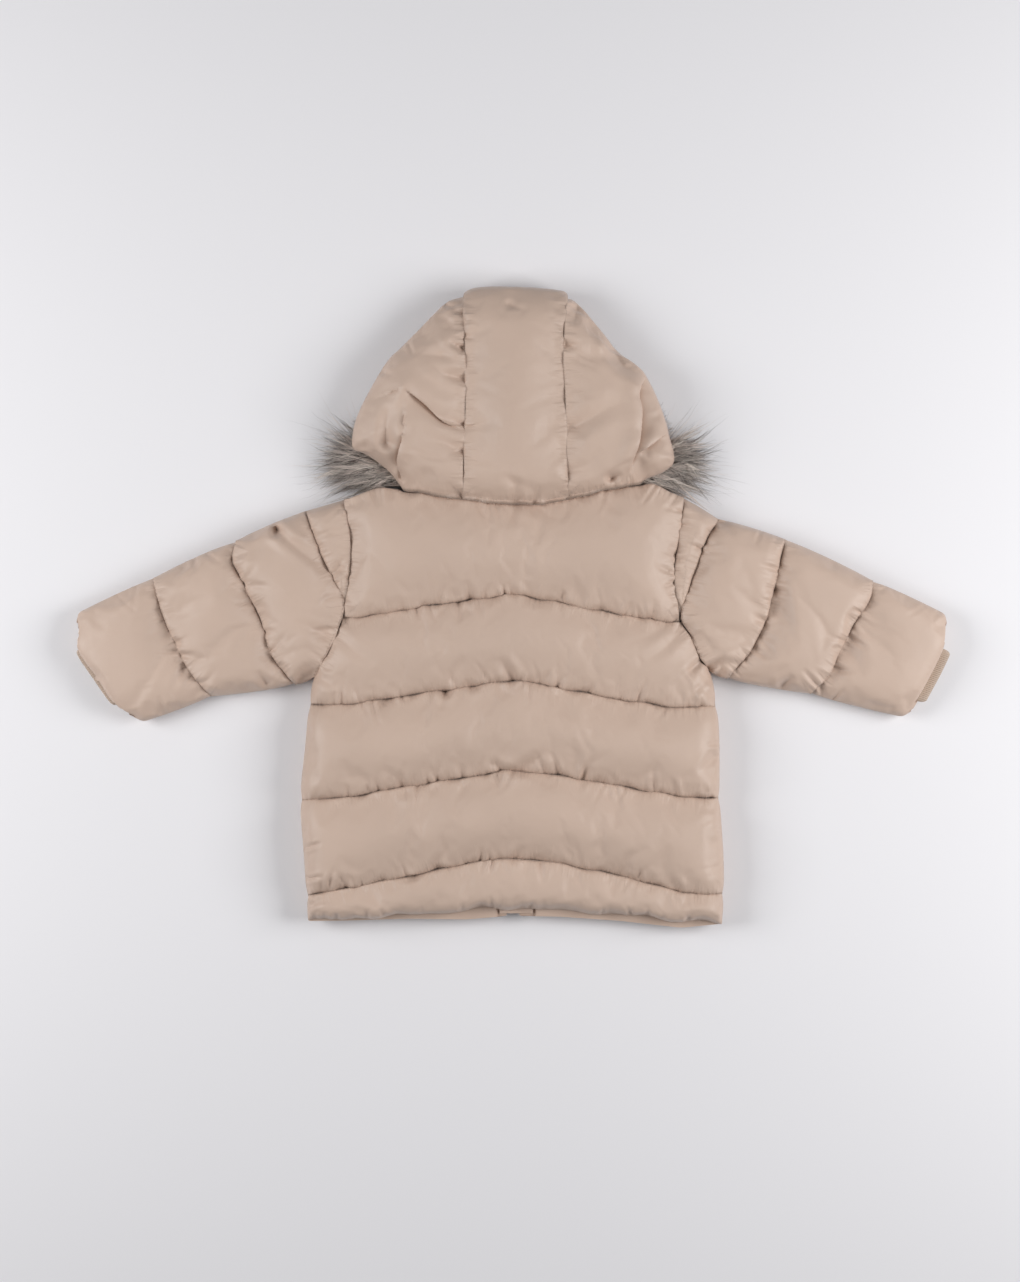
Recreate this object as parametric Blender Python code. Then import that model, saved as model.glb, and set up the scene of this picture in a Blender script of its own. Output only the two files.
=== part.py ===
"""A baby's padded parka with a fur trimmed hood, laid flat on its fronts, back up and hood spread.

+X runs along the sleeves, +Y from hem to hood, +Z up from the surface it lies on. The origin is
under the middle of the whole garment. Every piece that is cut and sewn on is its own object.
Lengths are in millimetres here and become metres in place().
"""

import math

import bmesh
import bpy
import numpy as np
from mathutils import Matrix

MM = 0.001
GAP = 0.3  # between neighbouring pieces, at their seams

# Heights above the surface
MID = 17.0  # where the fronts end and the back begins
SEAM_THICK = 5.0  # a padded layer where it is stitched through
PUFF_THICK = 25.0  # and in the middle of a channel
SIDE_LIFT = 10.0  # how far the fronts' rounded edges stand off the surface
FACING_TOP = 13.6  # the fronts beside the zip, under the wind flap
FACING_LIFT = 4.0  # how far their edges along the zip stand off the surface
THIN = 4.0  # the least thickness of the hood's padding

# Sleeves: two layers, pinched by a ring of stitching at each quilt line
SLEEVE_RING = 22.0
SLEEVE_EDGE = 14.0
SLEEVE_WALL = (1.5, 3.0)  # above and below SLEEVE_EDGE, along the sleeve's two edges
SLEEVE_UNDER = 11.2  # how far its edges' under side stands off the surface
SLIT = 1.0  # the sleeve's flattened inside
SLIT_LEVEL = 11.5
SLIT_INSET = 0.045  # share of the sleeve's width between each edge and the slit
ROOM_FADE = 12.0  # length over which the slit opens out for the cuff
ROOM_BEYOND = 22.0
ROOM_EASE = 1.0 / 14.0  # share of the width over which the room closes at each edge
CUFF_THICK = 6.2
CUFF_DEPTH = 34.0
CUFF_STRAIGHT = 12.0  # how far inside the mouth the cuff's edge becomes straight
CUFF_RIBS = 22
RIB_DEPTH = 0.35
CUFF_INSIDE = 0.93  # width of the cuff's inside as a share of its outside

# Hood: upper layer over the rim that folds under it, with the fur between rim and surface
HOOD_TOP = 56.0
HOOD_EDGE = 23.0
HOOD_NECK = 25.0
HOOD_RIM = 8.6
HOOD_EDGE_UNDER = 18.0
HOOD_RECESS = 27.0
RIM_WIDTH = 27.0
RIM_FADE = 4.0
NECK_STEP = 10.0  # how far from the neck seam the recess comes down to the body

# How far in from a line of stitching a channel takes to fill out
CHANNEL_ROLL = 26.0
EDGE_ROLL = 20.0
FRONT_ROLL = 15.0
FACING_ROLL = 6.0
HOOD_ROLL = 36.0
HOOD_UNDER_ROLL = 14.0
HOOD_NECK_ROLL = 30.0
HOOD_SEAM_ROLL = 17.0
HOOD_SEAM_FADE = 20.0
HOOD_SEAM_DEPTH = 9.0
SLEEVE_ROLL = 26.0
SLEEVE_UNDER_ROLL = 17.0

# The body's lines of stitching: height of each at these shares of the way from its left to right side
ACROSS = (0.0, 0.10, 0.25, 0.40, 0.50, 0.60, 0.75, 0.90, 1.0)
BACK_LINES = {
    "neck": (97.2, 108.4, 102.0, 96.9, 94.5, 95.1, 105.5, 111.7, 99.9),
    "line_1": (-9.9, -5.8, 2.4, 8.0, 12.9, 7.3, -2.0, -9.7, -13.5),
    "line_2": (-87.3, -85.8, -77.7, -70.4, -64.4, -70.7, -81.0, -89.1, -88.2),
    "line_3": (-171.9, -170.4, -160.5, -151.7, -145.5, -149.2, -159.0, -168.7, -171.0),
    "line_4": (-258.3, -251.3, -240.0, -228.3, -224.5, -229.1, -240.1, -255.0, -257.4),
    "hem": (-281.7, -279.6, -276.5, -271.6, -269.7, -272.3, -275.8, -281.2, -284.4),
}
# Where the body's grid has its columns across, and its rows down each channel
COLUMNS = (0.0, 0.025, 0.07, 0.14, 0.22, 0.285, 0.35, 0.42, 0.50, 0.58, 0.66, 0.72, 0.78, 0.86, 0.93,
           0.975, 1.0)
ROWS = (0.0, 0.06, 0.2, 0.5, 0.8, 0.94, 1.0)
FRONT_COLUMNS = (0.12, 0.32, 0.56, 0.76, 0.88, 0.95, 1.0)  # from the wind flap to the side seam
SHOULDER_ROWS = 13  # these rows of the body's grid stay on the fronts, and below them every third
FRONT_HEM = (-282.0, -281.5, -279.8, -280.5, -277.4, -278.0, -281.8, -288.0, -284.4)
FRONT_NECK = ((-152.1, 97.2), (-121.5, 108.4), (-100.8, 107.0), (-88, 88), (-60, 69), (-30, 60),
              (0, 57), (30, 60), (60, 69), (88, 88), (104, 108.4), (123.3, 111.7), (153.9, 99.9))

# The body's sides from shoulder to hem: armhole, underarm, side seam
LEFT_SIDE = ((-152.1, 97.2), (-145.8, 54.9), (-150.3, 3.6), (-161.1, -29.7), (-172.8, -52.2),
             (-179.1, -62.1), (-183.6, -86.4), (-187.0, -123.0), (-191.5, -171.9), (-188.6, -217.8),
             (-186.0, -258.0), (-184.5, -281.7))
RIGHT_SIDE = ((153.9, 99.9), (148.5, 60.3), (144.9, 32.4), (149.4, -6.3), (158.0, -24.0),
              (168.0, -47.0), (177.3, -57.0), (183.6, -88.2), (185.8, -118.8), (186.3, -171.0),
              (189.5, -222.0), (189.9, -257.4), (188.1, -284.4))
ARMPIT_HEIGHT = {"left": -62.1, "right": -57.0}

# Quilt lines round each sleeve, upper edge to lower edge. The first ends on the armhole seam.
SLEEVE_RINGS = {
    "left": {
        "shoulder": ((-187.2, 87.3), (-171.0, 46.0), (-152.8, 5.4), (-163.3, -30.2),
                     (-175.0, -53.0), (-181.2, -64.0)),
        "elbow": ((-248.4, 61.2), (-252.9, 43.2), (-245.7, 28.8), (-225.9, -13.5),
                  (-215.1, -45.0), (-195.3, -68.8)),
        "wrist": ((-324.0, 27.0), (-314.1, -8.1), (-303.0, -33.0), (-291.6, -55.8),
                  (-271.8, -79.5)),
        "mouth": ((-395.5, -6.3), (-393.6, -17.0), (-394.0, -36.0), (-376.0, -64.0),
                  (-357.0, -90.0), (-336.6, -103.5)),
    },
    "right": {
        "shoulder": ((185.4, 80.1), (176.4, 66.6), (166.5, 43.2), (152.0, -5.0), (160.4, -23.0),
                     (170.4, -46.0), (179.6, -59.0)),
        "elbow": ((244.8, 62.1), (237.6, 32.4), (233.1, 12.6), (225.9, -13.5), (211.5, -40.5),
                  (191.7, -63.4)),
        "wrist": ((323.1, 25.2), (321.3, 9.0), (306.9, -13.5), (292.5, -42.3), (282.6, -61.2),
                  (267.3, -77.0)),
        "mouth": ((392.8, -7.2), (391.8, -31.5), (384.5, -52.0), (374.0, -72.0), (361.0, -93.0),
                  (355.5, -99.0)),
    },
}
# Rows down each part of a sleeve, and how full each part is
SLEEVE_ROWS = ((0.0, 0.4, 0.75), (0.0, 0.07, 0.2, 0.5, 0.8, 0.93), (0.0, 0.07, 0.2, 0.5, 0.8, 0.93),
               (0.0, 0.07, 0.25, 0.5, 0.7, 0.9, 1.0))
SLEEVE_PUFFS = (39.0, 39.0, 37.0, 32.0)
# The knitted cuff's two edges where it leaves the sleeve, as shares across the mouth, and its reach
CUFFS = {
    "left": {"from": 0.24, "to": 0.80, "out": 2.4},
    "right": {"from": 0.27, "to": 0.87, "out": 4.6},
}

# The hood. Gusset: height, left seam, right seam.
GUSSET = ((97.0, -45.0, 49.5), (187.2, -42.3, 46.8), (234.0, -43.2, 45.2), (266.0, -44.0, 47.4),
          (279.5, -44.1, 48.6), (288.9, -43.0, 47.0))
GUSSET_CROWN = ((-45.0, 281.0), (-30.0, 288.5), (12.0, 288.5), (40.0, 285.5), (49.5, 279.5))
# Side panels: distance across, lower edge, upper edge. A lower edge on the body follows its neck seam.
HOOD_LEFT = ((-45.0, 97.0, 280.6), (-61.2, 99.9, 273.6), (-85.5, 103.5, 249.3), (-100.8, 109.0, 234.0),
             (-113.4, 124.2, 221.4), (-129.6, 136.8, 194.4), (-140.4, 141.3, 171.9), (-144.4, 144.0, 156.0))
HOOD_RIGHT = ((49.5, 95.0, 279.0), (58.5, 99.9, 273.6), (79.2, 107.1, 249.3), (94.5, 112.0, 230.4),
              (117.9, 115.0, 211.5), (132.3, 120.6, 182.7), (140.4, 126.0, 156.0), (144.6, 130.5, 140.0))

HOOD_ROWS = (0.0, 0.04, 0.12, 0.25, 0.42, 0.58, 0.72, 0.83, 0.91, 0.96, 0.99, 1.0)
GUSSET_STEPS = (0.0, 4.0, 12.0)  # extra columns in from each seam
PANEL_STEPS = (0.0, 4.0, 12.0, 40.0, 55.0, 68.0, 79.0, 87.0, 93.0)
COLUMN_APART = 2.5
LEAN_REACH = 60.0  # how far from the seam a panel's columns lean with it
NECK_REACH = {"left": 102.0, "right": 119.0}  # up to here a panel's lower edge is sewn to the body

# The fur trim lies under the hood's face edge and shows at its two lower corners
FUR_PATH = ((-64, 111), (-84, 117), (-104, 124.5), (-120, 134), (-132, 145), (-135, 157), (-126, 172),
            (-112, 188), (-96, 207), (-74, 231), (-46, 253), (2, 264), (48, 251), (76, 231), (98, 206),
            (113, 186), (127, 168), (135, 151), (133, 137), (121, 127), (104, 123), (84, 119), (66, 111))
FUR_PIECE = 8.0  # length of backing that each lock grows from
FUR_CORNER_PIECE = 3.4
FUR_WIDTH = 11.0
FUR_FLOOR = 1.4
FUR_THICK = 6.9
LONG_LOCK = 50.0
SHORT_LOCK = 13.0
INNER_LOCK = 27.0
LOCK_LENGTHS = (0.78, 1.0)  # least and greatest share of its length
LOCK_SWING = 0.22  # sideways lean either way
LOCK_SPREAD = (0.45, 0.75, 0.12)  # a corner lock's heading: along its normal, outward, towards the hood
CORNER_RISE = (2.0, 15.0)  # how far the tips of the corner locks rise
HIDDEN_RISE = (-1.2, 0.6)
CORNER_GIRTHS = ((0.5, 0.62), (1.0, 0.16))  # share of the length, and the width there against the last
HIDDEN_GIRTHS = ((1.0, 0.12),)
CORNER_FROM = 112.0  # beyond this distance across and below this height a lock is long
CORNER_BELOW = 172.0
SHOULDER_CLEAR = 6.0

# The zip, in the 11 mm between the fronts
ZIP_HALF = 5.5
ZIP_LOW = -272.0
ZIP_HIGH = 46.0
TAPE_LOW = 7.0
TAPE_HIGH = 8.2
TEETH_HALF = 2.2
TEETH_LOW = 4.5
TEETH_HIGH = 6.7
SLIDER_OUTLINE = ((-2.4, 0.4), (2.4, 0.4), (4.2, 6.4), (4.2, 9.9), (2.6, 11.9), (-2.6, 11.9),
                  (-4.2, 9.9), (-4.2, 6.4))  # from the tapes' upper end
SLIDER_LOW = 3.2
SLIDER_HIGH = 8.2
LUG_AT = 2.6
LUG_HALF = (0.6, 1.6)
LUG_LOW = 0.9
LUG_HIGH = 3.7
PULL_AXIS = (0.0, 51.0, 1.9)
PULL_OUTLINE = ((-1.1, -0.2), (1.1, -0.2), (1.2, -5.0), (2.8, -8.0), (2.8, -19.0), (1.6, -21.0),
                (-1.6, -21.0), (-2.8, -19.0), (-2.8, -8.0), (-1.2, -5.0))  # from its axis
PULL_THICK = 1.2
KNUCKLE_RADIUS = 1.0
KNUCKLE_LENGTH = 3.2
FLAP_LEFT = -12.0
FLAP_RIGHT = 18.0
FLAP_CLEAR = 1.0  # from the flap's edge to where the fronts begin to rise
FLAP_STEP = 1.6
FLAP_EASE = 0.8

# Broad folds pressed into the upper layer: start, end, half width, depth
FOLDS = (
    ((-216.0, 82.0), (-214.0, 56.0), 9.0, 7.0),
    ((-252.0, 58.0), (-236.0, 4.0), 8.0, 4.0),
    ((180.0, 84.0), (186.0, 44.0), 8.0, 8.0),
    ((-92.0, 196.0), (-48.0, 160.0), 12.0, 5.0),
    ((-100.0, 166.0), (-102.0, 124.0), 9.0, 6.0),
    ((118.0, 206.0), (106.0, 120.0), 9.0, 7.0),
    ((-4.0, 262.0), (8.0, 240.0), 12.0, 3.0),
)

SHELL_COLOUR = (0.50, 0.38, 0.31, 1.0)
RIB_COLOUR = (0.42, 0.29, 0.21, 1.0)
FUR_COLOUR = (0.22, 0.19, 0.16, 1.0)
TAPE_COLOUR = (0.40, 0.30, 0.25, 1.0)
METAL_COLOUR = (0.55, 0.53, 0.50, 1.0)


def material(name, colour, roughness, metallic=0.0):
    """A plain finish for one kind of piece."""
    made = bpy.data.materials.new(name)
    made.use_nodes = True
    shader = made.node_tree.nodes["Principled BSDF"]
    shader.inputs["Base Color"].default_value = colour
    shader.inputs["Roughness"].default_value = roughness
    shader.inputs["Metallic"].default_value = metallic
    made.diffuse_color = colour
    return made


def place(mesh, name, finish, garment):
    """Turn a bmesh in millimetres into a finished object of the garment."""
    bmesh.ops.recalc_face_normals(mesh, faces=mesh.faces[:])
    if mesh.calc_volume(signed=True) < 0:
        bmesh.ops.reverse_faces(mesh, faces=mesh.faces[:])
    for vertex in mesh.verts:
        vertex.co *= MM
    data = bpy.data.meshes.new(name)
    mesh.to_mesh(data)
    mesh.free()
    data.materials.append(finish)
    data.shade_smooth()
    data.set_sharp_from_angle(angle=math.radians(50))
    made = bpy.data.objects.new(name, data)
    garment["collection"].objects.link(made)
    made.parent = garment["root"]
    return made


def points_along(line, shares):
    """The points of a broken line at shares of its length."""
    line = np.array(line, float)
    steps = np.hypot(*np.diff(line, axis=0).T)
    reached = np.concatenate([[0.0], np.cumsum(steps)]) / steps.sum()
    return np.stack([np.interp(shares, reached, line[:, k]) for k in (0, 1)], axis=1)


def eased(line, count):
    """A broken line rounded into a curve through its points (Catmull-Rom), with count pieces a span."""
    line = np.array(line, float)
    ends = np.concatenate([[2 * line[0] - line[1]], line, [2 * line[-1] - line[-2]]])
    curve = []
    for before, start, end, after in zip(ends, ends[1:], ends[2:], ends[3:]):
        for t in np.arange(count) / count:
            curve.append(0.5 * (2 * start + (end - before) * t
                                + (2 * before - 5 * start + 4 * end - after) * t ** 2
                                + (3 * start - before - 3 * end + after) * t ** 3))
    return np.array(curve + [line[-1]])


def distance(points, lines):
    """How far each point lies from the nearest of some broken lines."""
    points = np.asarray(points, float)
    nearest = np.full(points.shape[:-1], np.inf)
    for line in lines:
        line = np.array(line, float)
        for start, end in zip(line, line[1:]):
            along = end - start
            share = np.clip((points - start) @ along / max(along @ along, 1e-9), 0.0, 1.0)
            nearest = np.minimum(nearest, np.linalg.norm(points - start - share[..., None] * along, axis=-1))
    return nearest


def roll(depth, width):
    """How full a padded edge is at this depth in from its stitching: a quarter circle, then level."""
    return np.sqrt(1.0 - (1.0 - np.clip(depth / width, 0.0, 1.0)) ** 2)


def folds(points):
    """How deep the broad folds press in at each point."""
    deep = np.zeros(points.shape[:-1])
    for start, end, half_width, depth in FOLDS:
        near = np.clip(1.0 - distance(points, [(start, end)]) / half_width, 0.0, 1.0)
        deep = np.maximum(deep, depth * near * near * (3.0 - 2.0 * near))
    return deep


def side_point(side, height):
    """The body's edge at a height."""
    line = np.array(side)
    return np.interp(-height, -line[:, 1], line[:, 0])


def body_rows():
    """Plan of the body: a row of points for each share of the way down each channel."""
    across = np.array(COLUMNS)
    names = list(BACK_LINES)
    rows = []
    for upper, lower in zip(names, names[1:]):
        top = np.array(BACK_LINES[upper])
        bottom = np.array(BACK_LINES[lower])
        for down in ROWS if lower == names[-1] else ROWS[:-1]:
            drop = top + (bottom - top) * down
            left = side_point(LEFT_SIDE, drop[0])
            right = side_point(RIGHT_SIDE, drop[-1])
            rows.append(np.stack([left + (right - left) * across, np.interp(across, ACROSS, drop)], axis=1))
    return np.array(rows)


def back_line(name):
    """One of the back's lines of stitching, as points."""
    heights = BACK_LINES[name]
    left = side_point(LEFT_SIDE, heights[0])
    right = side_point(RIGHT_SIDE, heights[-1])
    return [(left + (right - left) * share, height) for share, height in zip(ACROSS, heights)]


def padded(name, plan, top, under, finish, garment):
    """A closed padded piece: a grid that takes the plan's places, extruded from its under side to its top."""
    rows, columns = top.shape
    mesh = bmesh.new()
    bmesh.ops.create_grid(mesh, x_segments=columns - 1, y_segments=rows - 1, size=1.0)
    seats = {}
    for vertex in mesh.verts:
        column = round((vertex.co.x + 1.0) / 2.0 * (columns - 1))
        row = round((vertex.co.y + 1.0) / 2.0 * (rows - 1))
        vertex.co = (*plan[row, column], under[row, column])
        seats[vertex] = (row, column)
    places = {tuple(vertex.co): seat for vertex, seat in seats.items()}
    raised = bmesh.ops.extrude_face_region(mesh, geom=mesh.faces[:])["geom"]
    for vertex in raised:
        if isinstance(vertex, bmesh.types.BMVert):
            vertex.co.z = top[places[tuple(vertex.co)]]
    return place(mesh, name, finish, garment)


def tube(name, outer, inner, finish, garment):
    """A tube with a wall, lofted through sections: outer and inner hold a ring of points for each."""
    mesh = bmesh.new()
    rings = [[[mesh.verts.new(point) for point in ring] for ring in skin] for skin in (outer, inner)]
    count = len(rings[0][0])
    for skin, turned in zip(rings, (False, True)):
        for near, far in zip(skin, skin[1:]):
            for i in range(count):
                j = (i + 1) % count
                corners = (near[i], near[j], far[j], far[i])
                mesh.faces.new(corners[::-1] if turned else corners)
    for end in (0, -1):
        for i in range(count):
            j = (i + 1) % count
            mesh.faces.new((rings[0][end][i], rings[0][end][j], rings[1][end][j], rings[1][end][i]))
    return place(mesh, name, finish, garment)


def block(name, low, high, finish, garment, bevel=0.0):
    """A bar between two corners, with its edges eased."""
    mesh = bmesh.new()
    bmesh.ops.create_cube(mesh, size=1.0)
    low, high = np.array(low, float), np.array(high, float)
    for vertex in mesh.verts:
        vertex.co = (low + high) / 2 + np.array(vertex.co) * (high - low)
    if bevel:
        bmesh.ops.bevel(mesh, geom=mesh.edges[:], offset=bevel, segments=1, affect="EDGES")
    return place(mesh, name, finish, garment)


def back(garment):
    """The padded back, quilted in chevrons, on top of the fronts."""
    plan = body_rows()
    quilt = [back_line(name) for name in BACK_LINES]
    sides = [LEFT_SIDE, RIGHT_SIDE]
    fill = roll(distance(plan, quilt), CHANNEL_ROLL) * roll(distance(plan, sides), EDGE_ROLL)
    top = MID + SEAM_THICK + (PUFF_THICK - SEAM_THICK) * fill
    under = np.full(top.shape, MID)
    padded("back", plan, top, under, garment["shell"], garment)
    return plan


def fronts(garment, body_plan):
    """The two fronts, flat on the surface, with their edges rounded up to the side seams."""
    hem_across = np.array(ACROSS)
    neck = np.array(FRONT_NECK)
    step = FLAP_CLEAR + FLAP_STEP
    facing = {"left": (-ZIP_HALF, FLAP_LEFT - FLAP_CLEAR, FLAP_LEFT - step),
              "right": (ZIP_HALF, FLAP_RIGHT + FLAP_CLEAR, FLAP_RIGHT + step)}
    spread = np.array(FRONT_COLUMNS)
    last = len(body_plan) - 1
    kept = [row for row in range(last + 1) if row < SHOULDER_ROWS or row % 3 == 0 or row == last]
    for side, column in (("left", 0), ("right", -1)):
        edge = body_plan[kept, column]
        rows = []
        for x_side, y_side in edge:
            share = (edge[0, 1] - y_side) / (edge[0, 1] - edge[-1, 1])
            inner = np.array(facing[side])
            across = np.concatenate([inner, inner[-1] + (x_side - inner[-1]) * spread])
            level = (across - inner[0]) / (x_side - inner[0])
            neck_across = inner[0] + (edge[0, 0] - inner[0]) * level
            upper = np.interp(neck_across, neck[:, 0], neck[:, 1])
            hem_share = 0.5 + 0.5 * level * (1 if side == "right" else -1)
            lower = np.interp(hem_share, hem_across, FRONT_HEM)
            height = upper + (lower - upper) * share
            height[-1] = y_side
            rows.append(np.stack([across, height], axis=1))
        plan = np.array(rows)
        outline = [plan[:, -1], plan[0], plan[-1]]
        inside = distance(plan, outline)
        under = SIDE_LIFT * (1.0 - roll(inside, FRONT_ROLL))
        zip_side = np.abs(plan[..., 0]) - ZIP_HALF
        under = np.maximum(under, FACING_LIFT * (1.0 - roll(zip_side, FACING_ROLL)))
        top = np.full(under.shape, MID - GAP)
        top[:, :2] = FACING_TOP
        padded(f"front_{side}", plan, top, under, garment["shell"], garment)


def armhole(body_plan, side):
    """The points of the body's edge from shoulder to armpit, which the sleeve's head repeats."""
    edge = body_plan[:, 0 if side == "left" else -1]
    above = edge[edge[:, 1] > ARMPIT_HEIGHT[side] + 2.0]
    pit = (side_point(edge, ARMPIT_HEIGHT[side]), ARMPIT_HEIGHT[side])
    return np.concatenate([above, [pit]])


def sleeve(garment, body_plan, side):
    """A padded tube pressed flat: its head on the armhole, quilt rings across it and its mouth open."""
    outward = -1.0 if side == "left" else 1.0
    head = armhole(body_plan, side)
    steps = np.concatenate([[0.0], np.cumsum(np.hypot(*np.diff(head, axis=0).T))])
    shares = steps / steps[-1]
    head = head + (outward * GAP, 0.0)
    rings = [head] + [points_along(eased(ring, 6), shares) for ring in SLEEVE_RINGS[side].values()]
    sections, puffs = [], []
    for near, far, down, height in zip(rings, rings[1:], SLEEVE_ROWS, SLEEVE_PUFFS):
        for share in down:
            sections.append(near + (far - near) * share)
            puffs.append(height)
    plan = np.array(sections)
    rings[-1] = plan[-1]
    edges = [plan[:, 0], plan[:, -1]]
    fill = roll(distance(plan, rings), SLEEVE_ROLL)
    across = roll(distance(plan, edges), SLEEVE_ROLL)
    level = SLEEVE_RING + (np.array(puffs)[:, None] - SLEEVE_RING) * fill
    top = SLEEVE_EDGE + (level - SLEEVE_EDGE) * across - folds(plan) * across
    under = SLEEVE_UNDER * (1.0 - roll(distance(plan, edges), SLEEVE_UNDER_ROLL))
    # Inside: a slit of the wall's middle height that opens near the mouth to hold the cuff
    depth_in = np.linalg.norm(plan - plan[-1], axis=-1).mean(axis=1)
    room = np.clip((CUFF_DEPTH + ROOM_BEYOND - depth_in) / ROOM_FADE, 0.0, 1.0)[:, None]
    lens = np.clip(np.minimum(shares, 1.0 - shares) / ROOM_EASE, 0.0, 1.0)
    half = SLIT / 2 + (CUFF_THICK / 2 + GAP - SLIT / 2) * room * lens
    inset = SLIT_INSET + (1.0 - 2.0 * SLIT_INSET) * shares
    inner_plan = np.array([points_along(section, inset) for section in plan])
    middle = np.full(inner_plan.shape[:2], SLIT_LEVEL)

    def ring_points(flat, upper, lower):
        over = np.concatenate([flat, upper[..., None]], axis=-1)
        below = np.concatenate([flat, lower[..., None]], axis=-1)
        return np.concatenate([over, below[:, ::-1]], axis=1)

    edge_over = top.copy()
    edge_below = under.copy()
    edge_over[:, (0, -1)] = SLEEVE_EDGE + SLEEVE_WALL[0]
    edge_below[:, (0, -1)] = SLEEVE_EDGE - SLEEVE_WALL[1]
    outer = ring_points(plan, edge_over, edge_below)
    inner = ring_points(inner_plan, middle + half, middle - half)
    tube(f"sleeve_{side}", outer, inner, garment["shell"], garment)
    return plan


def cuff(garment, side, sleeve_plan):
    """The ribbed knit cuff: a flat tube inside the sleeve's mouth that shows a little beyond it."""
    form = CUFFS[side]
    mouth = sleeve_plan[-1]
    inward = sleeve_plan[-4].mean(axis=0) - mouth.mean(axis=0)
    inward = inward / np.linalg.norm(inward)
    count = np.arange(CUFF_RIBS)
    edge = points_along(mouth, np.linspace(form["from"], form["to"], CUFF_RIBS))
    chord = np.linspace(edge[0], edge[-1], CUFF_RIBS)
    arch = roll(np.minimum(count, count[::-1]) + 0.4, 3.0)
    rib = RIB_DEPTH * (count % 2)
    outer, inner = [], []
    for inside in (-form["out"], CUFF_DEPTH * 0.5, CUFF_DEPTH):
        straight = np.clip((inside + form["out"]) / CUFF_STRAIGHT, 0.0, 1.0)
        line = edge + (chord - edge) * straight + inward * inside
        high = (CUFF_THICK / 2 - rib) * arch
        low = np.full(CUFF_RIBS, SLIT / 2)
        slim = line.mean(axis=0) + (line - line.mean(axis=0)) * CUFF_INSIDE
        for skin, flat, half in ((outer, line, high), (inner, slim, low)):
            over = np.column_stack([flat, SLIT_LEVEL + half])
            below = np.column_stack([flat, SLIT_LEVEL - half])
            skin.append(np.concatenate([over, below[::-1]]))
    tube(f"cuff_{side}", outer, inner, garment["rib"], garment)


def hood_outline():
    """The hood's free outline, from the left of its neck seam round the crown to the right."""
    left = [(x, low) for x, low, high in HOOD_LEFT[3:]] + [(x, high) for x, low, high in HOOD_LEFT[::-1]]
    right = [(x, high) for x, low, high in HOOD_RIGHT] + [(x, low) for x, low, high in HOOD_RIGHT[:3:-1]]
    return left + list(GUSSET_CROWN[1:-1]) + right


def hood_seams():
    """The two seams between the gusset and the side panels."""
    return [[(left, height) for height, left, right in GUSSET],
            [(right, height) for height, left, right in GUSSET]]


def hood_heights(plan, neck):
    """Top and under side of the hood's padding over a plan."""
    outline = hood_outline()
    edge_depth = distance(plan, [outline])
    fill = roll(edge_depth, HOOD_ROLL)
    top = HOOD_EDGE + (HOOD_TOP - HOOD_EDGE) * fill
    neck_fill = roll(distance(plan, [neck]), HOOD_NECK_ROLL)
    top = HOOD_NECK + (top - HOOD_NECK) * np.where(top > HOOD_NECK, neck_fill, 1.0)
    seam = 1.0 - roll(distance(plan, hood_seams()), HOOD_SEAM_ROLL)
    top = top - HOOD_SEAM_DEPTH * seam * roll(edge_depth, HOOD_SEAM_FADE) * neck_fill - folds(plan) * fill
    rim = HOOD_RIM + (HOOD_EDGE_UNDER - HOOD_RIM) * (1.0 - roll(edge_depth, HOOD_UNDER_ROLL))
    recess = np.clip((edge_depth - RIM_WIDTH) / RIM_FADE, 0.0, 1.0)
    under = rim + (HOOD_RECESS - rim) * recess
    at_neck = np.clip(1.0 - distance(plan, [neck]) / NECK_STEP, 0.0, 1.0)
    under = under + (MID - under) * at_neck * (recess > 0)
    return top, np.minimum(under, top - THIN)


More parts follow.
